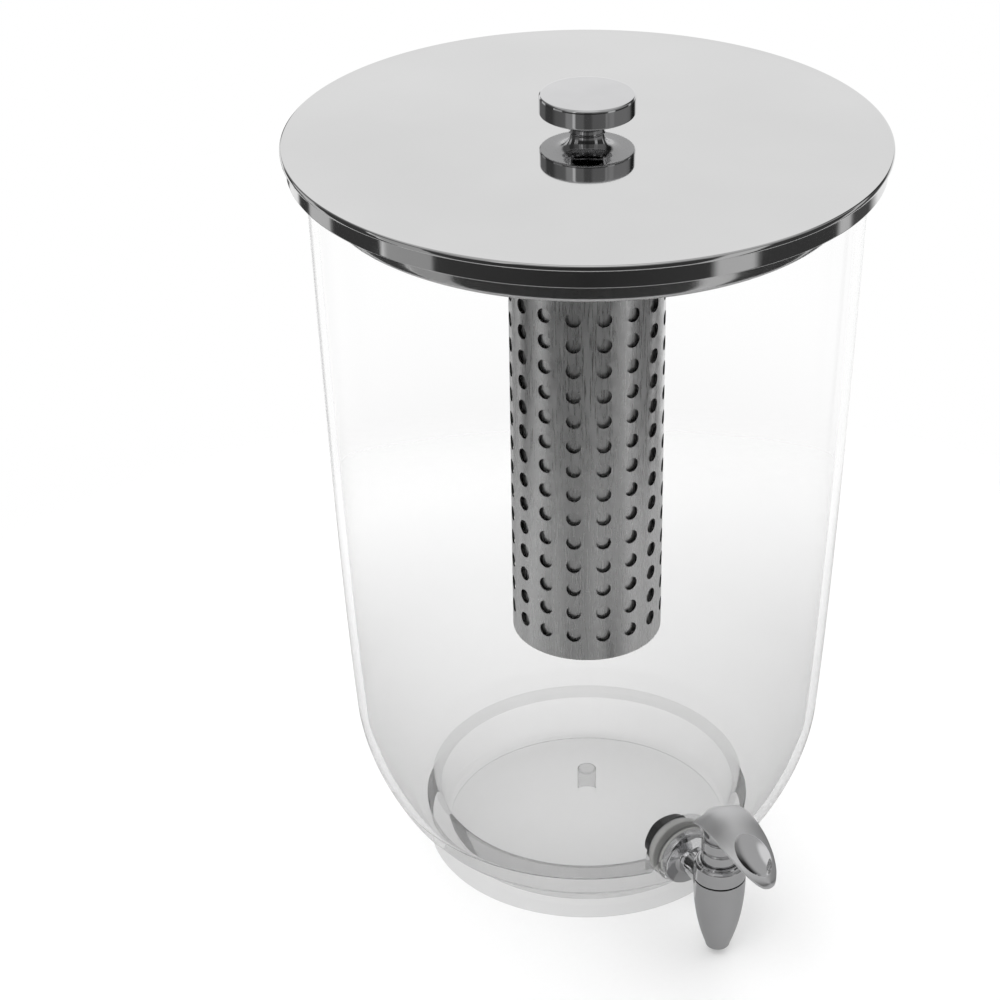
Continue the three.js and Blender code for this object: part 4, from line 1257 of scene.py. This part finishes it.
    def lock_nut(self) -> Piece:
        """Returns the lock nut: a hexagon with its corners turned down and both faces chamfered."""
        across = self.nut_flats / 2 / math.cos(math.pi / 6)
        corners = [(across * math.cos(math.pi / 3 * k), self.height + across * math.sin(math.pi / 3 * k))
                   for k in range(6)]
        near, far = self.nut_back, self.nut_back + self.nut_thickness
        limit = turned("limit", [
            (0.0, near), (self.nut_corner - 1.2 * MM, near), (self.nut_corner, near + 0.9 * MM),
            (self.nut_corner, far - 0.9 * MM), (self.nut_corner - 1.2 * MM, far), (0.0, far),
        ], self.sides, Axis.TAP_ARM, self.arm)
        bore = self.rod(self.shank_radius + PLAY, self.shank_end - OVERRUN, self.pad_inner, Axis.TAP_ARM)
        return carved(prism("lock_nut", corners, near, far), [(Cut.KEEP, limit), (Cut.REMOVE, bore)])

    def build(self) -> None:
        """Makes the tap's fixed pieces."""
        chrome = CHROME.material()
        silicone = GREY_SILICONE.material()
        dressed(smoothed(self.casting(), 30.0), chrome, "base", ["tap_body"])
        dressed(smoothed(self.union_nut()), chrome, "base", ["tap_union_nut"])
        dressed(smoothed(self.bonnet()), chrome, "base", ["tap_bonnet"])
        dressed(smoothed(self.lock_nut(), 30.0, 0.25 * MM), NYLON.material(), "base", ["tap_lock_nut"])
        bore = self.shank_radius + PLAY
        outer = self.ring("outer_seal", bore, self.flange_radius, self.pad_outer + 0.1 * MM, self.pad_outer + 1.6 * MM)
        inner = self.ring("inner_seal", bore, 12.7 * MM, self.pad_inner - 2.6 * MM, self.pad_inner - 0.1 * MM)
        washer = self.ring("lock_washer_ring", bore, 11.8 * MM, self.pad_inner - 3.9 * MM, self.pad_inner - 2.7 * MM)
        dressed(smoothed(outer), silicone, "base", ["tap_outer_gasket"])
        dressed(smoothed(inner), silicone, "base", ["tap_inner_gasket"])
        dressed(smoothed(washer), PLAIN_STEEL.material(), "base", ["tap_lock_washer"])
        finish_node("stem_seal", RUBBER.material())


@dataclass
class Valve:
    """The valve inside the tap: stem, cup, return spring and cross pin."""

    tap: Tap
    spring_radius: float = 5.6 * MM
    spring_wire: float = 0.45 * MM
    spring_turns: float = 5.0
    spring_low: float = 28.15 * MM
    spring_high: float = 44.65 * MM
    steps_per_turn: int = 40
    wire_sides: int = 12

    def coil_tree(self) -> Tree:
        """Returns the node tree that winds a wire into an open coil."""
        tree, given = geometry_tree("open_coil", {
            "Float": ("Turns", "Coil Radius", "Wire Radius", "Height"), "Vector": ("Place",), "Material": ("Finish",),
        })
        path = node(tree, "GeometryNodeCurveSpiral", {
            "Resolution": self.steps_per_turn, "Rotations": given["Turns"], "Start Radius": given["Coil Radius"],
            "End Radius": given["Coil Radius"], "Height": given["Height"],
        }).outputs[0]
        wire = node(tree, "GeometryNodeCurvePrimitiveCircle", {
            "Resolution": self.wire_sides, "Radius": given["Wire Radius"],
        }).outputs[0]
        swept = node(tree, "GeometryNodeCurveToMesh", {
            "Curve": path, "Profile Curve": wire, "Fill Caps": True,
        }).outputs[0]
        placed = node(tree, "GeometryNodeTransform", {"Geometry": swept, "Translation": given["Place"]}).outputs[0]
        return end_tree(tree, placed, given["Finish"])

    def build(self) -> None:
        """Makes the spring and finishes the stem, the cup and the pin."""
        plain = PLAIN_STEEL.material()
        spring = grown(mesh_object("spring_coil", [], []), self.coil_tree(), {
            "Turns": self.spring_turns, "Coil Radius": self.spring_radius, "Wire Radius": self.spring_wire,
            "Height": self.spring_high - self.spring_low,
            "Place": (0.0, -self.tap.reach, self.spring_low), "Finish": plain,
        })
        dressed(smoothed(spring, 60.0), plain, None, ["return_spring"])
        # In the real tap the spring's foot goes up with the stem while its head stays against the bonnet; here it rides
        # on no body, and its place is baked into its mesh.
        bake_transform(spring)
        finish_node("valve_stem", plain)
        finish_node("lever_pin", plain)
        finish_node("valve_cup", SILICONE.material())


@dataclass
class Lever:
    """The lever: an arched blade that falls to a thumb scoop, on a round hub."""

    tap: Tap
    half_width: float = 10.8 * MM
    back: float = -4.3 * MM
    tip: float = 36.1 * MM
    edge_height: float = 20.1 * MM
    tip_height: float = 9.3 * MM
    crown: float = 2.2 * MM
    tip_crown: float = 1.3 * MM
    tip_half_width: float = 0.6 * MM
    sheet: float = 2.4 * MM
    edge_sheet: float = 1.1 * MM
    spoon: float = 5.6 * MM
    hub_radius: float = 7 * MM
    scoop_reach: float = 24.1 * MM
    scoop_length: float = 14 * MM
    scoop_width: float = 9.2 * MM
    scoop_depth: float = 3.2 * MM
    scoop_height: float = 19.2 * MM
    scoop_tilt: float = 26.0
    press: float = 20.0
    seat: float = 0.15 * MM
    pin_height: float = 3.65 * MM
    stem_slot_half: float = 2.95 * MM
    stem_slot_back: float = 3.4 * MM
    stem_slot_rise: float = 3.05 * MM
    pin_slot_half: float = 1.7 * MM
    pin_slot_drop: float = 1.93 * MM
    slot_reach: float = 37 * MM
    crown_end: float = 0.55
    spoon_start: float = 0.275
    spoon_span: float = 0.45
    stations: int = 64
    strips: int = 32
    scoop_sides: int = 64

    def edge(self, t: float) -> tuple[float, float]:
        """Returns the reach and height of the blade's side edge at a share of its length."""
        return curve([
            (self.back, self.edge_height), (self.tip * 0.214, self.edge_height * 1.25),
            (self.tip * 0.772, self.edge_height * 0.791), (self.tip, self.tip_height),
        ], self.stations)[round(t * self.stations)]

    def half(self, reach: float) -> float:
        """Returns the blade's half width at a reach."""
        start = self.tip * 0.1
        gone = max(reach - start, 0.0) / (self.tip - start)
        return self.half_width * math.sqrt(max(1 - gone ** 2, 0.0)) + self.tip_half_width * gone

    def blade(self) -> Piece:
        """Returns the blade as a closed shell between an upper and a lower arched sheet."""
        stations, across = self.stations, self.strips
        points: list[Corner] = []
        for side in (0, 1):
            for i in range(stations + 1):
                t = i / stations
                reach, height = self.edge(t)
                half = self.half(reach)
                fall = math.cos(math.pi / 2 * min(t / self.crown_end, 1)) ** 2
                crown = self.tip_crown + (self.crown - self.tip_crown) * fall
                spoon = min(max((t - self.spoon_start) / self.spoon_span, 0.0), 1.0)
                depth = self.sheet + (self.spoon - self.sheet) * math.sin(math.pi * spoon) ** 2
                for k in range(across + 1):
                    v = 2 * k / across - 1
                    sheet = (self.edge_sheet + (depth - self.edge_sheet) * (1 - v * v)) * side
                    z = self.tap.union_top + height + crown * (1 - v * v) - sheet
                    points.append((half * v, -self.tap.reach - reach, z))
        wide, count = across + 1, (stations + 1) * (across + 1)
        faces = []
        for i in range(stations):
            for k in range(across):
                a = i * wide + k
                b = count + a
                faces += [[a, a + 1, a + wide + 1, a + wide], [b, b + wide, b + wide + 1, b + 1]]
            for a, b in ((i * wide, (i + 1) * wide), (i * wide + across, (i + 1) * wide + across)):
                faces.append([a, b, count + b, count + a])
        for start in (0, stations * wide):
            faces += [[a, a + 1, count + a + 1, count + a] for a in range(start, start + across)]
        return mesh_object("lever_blade", points, faces)

    def block(self, low: Vector, high: Vector) -> Piece:
        """Returns a straight-sided block between two corners."""
        points = [(x, y, z) for x in (low.x, high.x) for y in (low.y, high.y) for z in (low.z, high.z)]
        faces = [[0, 1, 3, 2], [4, 6, 7, 5], [0, 4, 5, 1], [2, 3, 7, 6], [0, 2, 6, 4], [1, 5, 7, 3]]
        return mesh_object("block", points, faces)

    def scoop(self) -> Piece:
        """Returns the egg-shaped hollow for the thumb."""
        half = self.scoop_sides // 2
        outline = [(math.cos(a), math.sin(a)) for a in (math.pi * (i / half - 0.5) for i in range(half + 1))]
        outline[0], outline[-1] = (0.0, -1.0), (0.0, 1.0)
        egg = turned("egg", outline, self.scoop_sides)
        place = (0.0, -self.tap.reach - self.scoop_reach, self.tap.union_top + self.scoop_height)
        egg.data.transform(Matrix.Diagonal((self.scoop_width, self.scoop_length, self.scoop_depth, 1.0)))
        egg.data.transform(Matrix.Rotation(math.radians(self.scoop_tilt), 4, "X"))
        egg.data.transform(Matrix.Translation(place))
        return egg

    def build(self) -> None:
        """Makes the lever."""
        base = self.tap.union_top + self.tap.bonnet_height + self.seat
        pin, y = base + self.pin_height, -self.tap.reach
        hub = self.tap.rod(self.hub_radius, base, self.tap.union_top + self.edge_height + self.crown / 2)
        stem_slot = self.block(
            Vector((-self.stem_slot_half, y - self.stem_slot_back, base - 1.5 * OVERRUN)),
            Vector((self.stem_slot_half, y + self.slot_reach, pin + self.stem_slot_rise)),
        )
        # The pin goes up with the stem while the lever rocks, so its slot is longer to the back by the stem's lift.
        lift = self.hub_radius * math.radians(self.press)
        pin_slot = self.block(
            Vector((-self.slot_reach, y - self.pin_slot_half, pin - self.pin_slot_drop)),
            Vector((self.slot_reach, y + self.pin_slot_half + lift, pin + self.pin_slot_half)),
        )
        # The hollow is polished and its tool hands that finish on; the rest keeps the casting's skin.
        blade, scoop = self.blade(), self.scoop()
        blade.data.materials.append(CAST_CHROME.material())
        scoop.data.materials.append(CHROME.material())
        lever = carved(blade, [
            (Cut.JOIN, hub), (Cut.REMOVE, scoop), (Cut.REMOVE, stem_slot), (Cut.REMOVE, pin_slot),
        ])
        dressed(smoothed(lever, 32.0, 0.3 * MM), None, "lever", ["tap_lever"])


@dataclass
class Studio:
    """The pale floor, the soft light and the camera at the photograph's angle."""

    distance: float = 982 * MM
    height: float = 734 * MM
    azimuth: float = -31.0
    pitch: float = 30.02
    lens: float = 96.84
    shift: float = -0.087
    roll: float = 0.05
    floor_level: float = -0.2 * MM
    floor_solid: float = 300 * MM
    floor_gone: float = 420 * MM
    # The heights, from level at 0 to straight up at 1, between which the room goes over into what hangs above it.
    high_room_from: tuple[float, float] = (0.1, 0.3)
    ceiling_from: tuple[float, float] = (0.62, 0.8)
    lamp_from: tuple[float, float] = (0.95, 0.985)
    sensor: float = 36.0
    clip: tuple[float, float] = (0.05, 50.0)
    aim: float = 160 * MM
    # Each lamp's name, place, width and power in watts.
    lamps: tuple[tuple[str, Corner, float, float], ...] = (
        ("soft_key", (-1.1, -0.9, 1.7), 1.2, 8.0), ("soft_top", (0.3, 0.6, 2.0), 1.4, 5.0),
    )
    # What a mirror finds in the room at each direction round it, in degrees from the camera, to the right: near the
    # ground the unlit side behind the camera with pale cards and the white backdrop, and higher up the same, plainer.
    low_room: tuple[tuple[float, float], ...] = (
        (-180, 1.0), (-166, 1.0), (-163, 0.1), (-158, 0.1), (-155, 1.0), (-143, 1.0), (-140, 0.05), (-131, 0.05),
        (-129, 0.6), (-114, 0.6), (-112, 0.05), (-84, 0.05), (-83, 0.9), (-81, 0.4), (-60, 0.4), (-59, 0.05),
        (0, 0.03), (47, 0.05), (50, 0.6), (65, 0.6), (68, 0.05), (108, 0.05), (111, 0.6), (117, 0.6), (120, 0.08),
        (134, 0.08), (144, 1.0), (180, 1.0),
    )
    high_room: tuple[tuple[float, float], ...] = (
        (-180, 1.0), (-158, 1.0), (-150, 0.2), (-122, 0.2), (-114, 0.08), (-92, 0.08), (-80, 0.17), (-55, 0.2),
        (-50, 0.4), (-36, 0.4), (-34, 0.85), (-30, 0.85), (-27, 0.21), (-10, 0.2), (-6, 0.11), (8, 0.11), (14, 0.19),
        (42, 0.2), (46, 0.4), (50, 0.3), (57, 0.38), (64, 0.38), (68, 0.29), (105, 0.29), (118, 0.25), (130, 0.03),
        (148, 0.03), (158, 1.0), (180, 1.0),
    )

    def ring_of_light(self, tree: Tree, share: Socket,
                      levels: Sequence[tuple[float, float]]) -> Socket:
        """Adds a ramp that gives the room's brightness at each direction round the object.

        Args:
            tree: The world's node tree.
            share: The direction, from 0 at -180 degrees to 1 at 180 degrees.
            levels: Directions in degrees with their brightness.

        Returns:
            The ramp's colour.
        """
        ramp = node(tree, "ShaderNodeValToRGB", {"Fac": share})
        stops = ramp.color_ramp.elements
        while len(stops) < len(levels):
            stops.new(0.5)
        for stop, (degrees, level) in zip(stops, levels):
            stop.position, stop.color = degrees / 360 + 0.5, (level, level, level, 1.0)
        return ramp.outputs["Color"]

    def from_metal(self, tree: Tree) -> Socket:
        """Adds a test that is 1 for a ray that metal has mirrored, and 0 for all others.

        Args:
            tree: The node tree to add it to.

        Returns:
            The test's result.
        """
        path = node(tree, "ShaderNodeLightPath").outputs
        mirrored = maths(tree, "GREATER_THAN", path["Glossy Depth"], 0.5)
        # Such a ray stays outside the plastic, or goes in and out again through two whole walls, four faces in all.
        outside, through = (maths(tree, "COMPARE", path["Transmission Depth"], faces, 0.5) for faces in (0.0, 4.0))
        return maths(tree, "MULTIPLY", mirrored, maths(tree, "MAXIMUM", outside, through))

    def world(self) -> None:
        """Makes a white surround that lights evenly, with an unlit camera side that only mirrors show."""
        world = bpy.data.worlds.new("soft_surround")
        bpy.context.scene.world = world
        world.use_nodes = True
        tree = world.node_tree
        tree.nodes.clear()
        path = node(tree, "ShaderNodeLightPath").outputs
        seen = maths(tree, "MAXIMUM", path["Is Camera Ray"], path["Is Glossy Ray"])
        seen = maths(tree, "MAXIMUM", seen, path["Is Transmission Ray"])
        way = node(tree, "ShaderNodeTexCoord").outputs["Generated"]
        faced = node(tree, "ShaderNodeVectorRotate", {
            "Vector": way, "Angle": -math.radians(self.azimuth),
        }, rotation_type="Z_AXIS").outputs[0]
        part = node(tree, "ShaderNodeSeparateXYZ", {0: faced}).outputs
        angle = maths(tree, "ARCTAN2", part["X"], maths(tree, "MULTIPLY", part["Y"], -1.0))
        share = mapped(tree, angle, -math.pi, math.pi)
        room = self.ring_of_light(tree, share, self.low_room)
        # Above it hangs a grey ceiling with a bright lamp straight over the object.
        for (start, end), above in (
            (self.high_room_from, self.ring_of_light(tree, share, self.high_room)),
            (self.ceiling_from, linear("#c0c0c0")), (self.lamp_from, linear("#ffffff")),
        ):
            room = mixed(tree, mapped(tree, part["Z"], start, end, smooth=True), room, above)
        shown = maths(tree, "MULTIPLY", self.from_metal(tree), seen)
        colour = mixed(tree, shown, linear("#ffffff"), room)
        light = node(tree, "ShaderNodeBackground", {"Color": colour, "Strength": 1.0}).outputs[0]
        node(tree, "ShaderNodeOutputWorld", {"Surface": light})

    def floor(self) -> None:
        """Makes the pale round floor, whose edge fades into the surround."""
        half = self.floor_gone
        corners = [(-half, -half), (half, -half), (half, half), (-half, half)]
        plane = mesh_object("floor", [(x, y, self.floor_level) for x, y in corners], [[0, 1, 2, 3]])
        material, tree, place = blank_material("matt_white_board")
        tone = mixed(tree, noise(tree, place, 2 * MM, 2.0), linear("#fdfdfd"), linear("#ffffff"))
        # Seen in a metal's mirror the board turns grey: painted shade on the floor that the metals reflect.
        colour = mixed(tree, self.from_metal(tree), tone, linear("#b4b4b4"))
        away = node(tree, "ShaderNodeVectorMath", {0: place}, operation="LENGTH").outputs["Value"]
        gone = mapped(tree, away, self.floor_solid, self.floor_gone, smooth=True)
        board = node(tree, "ShaderNodeBsdfDiffuse", {"Color": colour}).outputs[0]
        clear = node(tree, "ShaderNodeBsdfTransparent").outputs[0]
        faded = node(tree, "ShaderNodeMixShader", {0: gone, 1: board, 2: clear}).outputs[0]
        node(tree, "ShaderNodeOutputMaterial", {"Surface": faded})
        plane.data.materials.append(material)

    def lamp(self, name: str, place: Vector, size: float, power: float) -> None:
        """Adds a soft square lamp that faces the container's middle.

        Args:
            name: The lamp's name.
            place: Where it hangs.
            size: Its width.
            power: Its power in watts.
        """
        data = bpy.data.lights.new(name, "AREA")
        data.shape, data.size, data.energy = "SQUARE", size, power
        lamp = bpy.data.objects.new(name, data)
        lamp.location = place
        lamp.visible_glossy = False
        lamp.rotation_euler = (Vector((0, 0, self.aim)) - place).to_track_quat("-Z", "Y").to_euler()
        bpy.context.scene.collection.objects.link(lamp)

    def camera(self) -> None:
        """Makes the camera."""
        data = bpy.data.cameras.new("camera")
        data.lens, data.sensor_width, data.shift_x = self.lens, self.sensor, self.shift
        data.clip_start, data.clip_end = self.clip
        camera = bpy.data.objects.new("camera", data)
        turn = math.radians(self.azimuth)
        away = Vector((self.distance * math.sin(turn), -self.distance * math.cos(turn), self.height))
        camera.matrix_world = (
            Matrix.Translation(AXIS_PLACE + away)
            @ Matrix.Rotation(turn, 4, "Z")
            @ Matrix.Rotation(math.radians(90 - self.pitch), 4, "X")
            @ Matrix.Rotation(math.radians(self.roll), 4, "Z")
        )
        bpy.context.scene.collection.objects.link(camera)
        bpy.context.scene.camera = camera

    def build(self) -> None:
        """Makes the whole set."""
        bpy.context.scene.view_settings.view_transform = "Standard"
        self.world()
        self.floor()
        for name, place, size, power in self.lamps:
            self.lamp(name, Vector(place), size, power)
        self.camera()


def main() -> None:
    """Builds the dispenser sub-assembly by sub-assembly, and then the set round it."""
    logging.basicConfig(level=logging.INFO, format="%(name)s: %(message)s")
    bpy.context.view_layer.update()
    tap = Tap()
    for assembly in (Container(), Lid(), IceTube(), tap, Valve(tap), Lever(tap), Studio()):
        LOG.info("building %s", type(assembly).__name__)
        assembly.build()


if __name__ == "__main__":
    main()
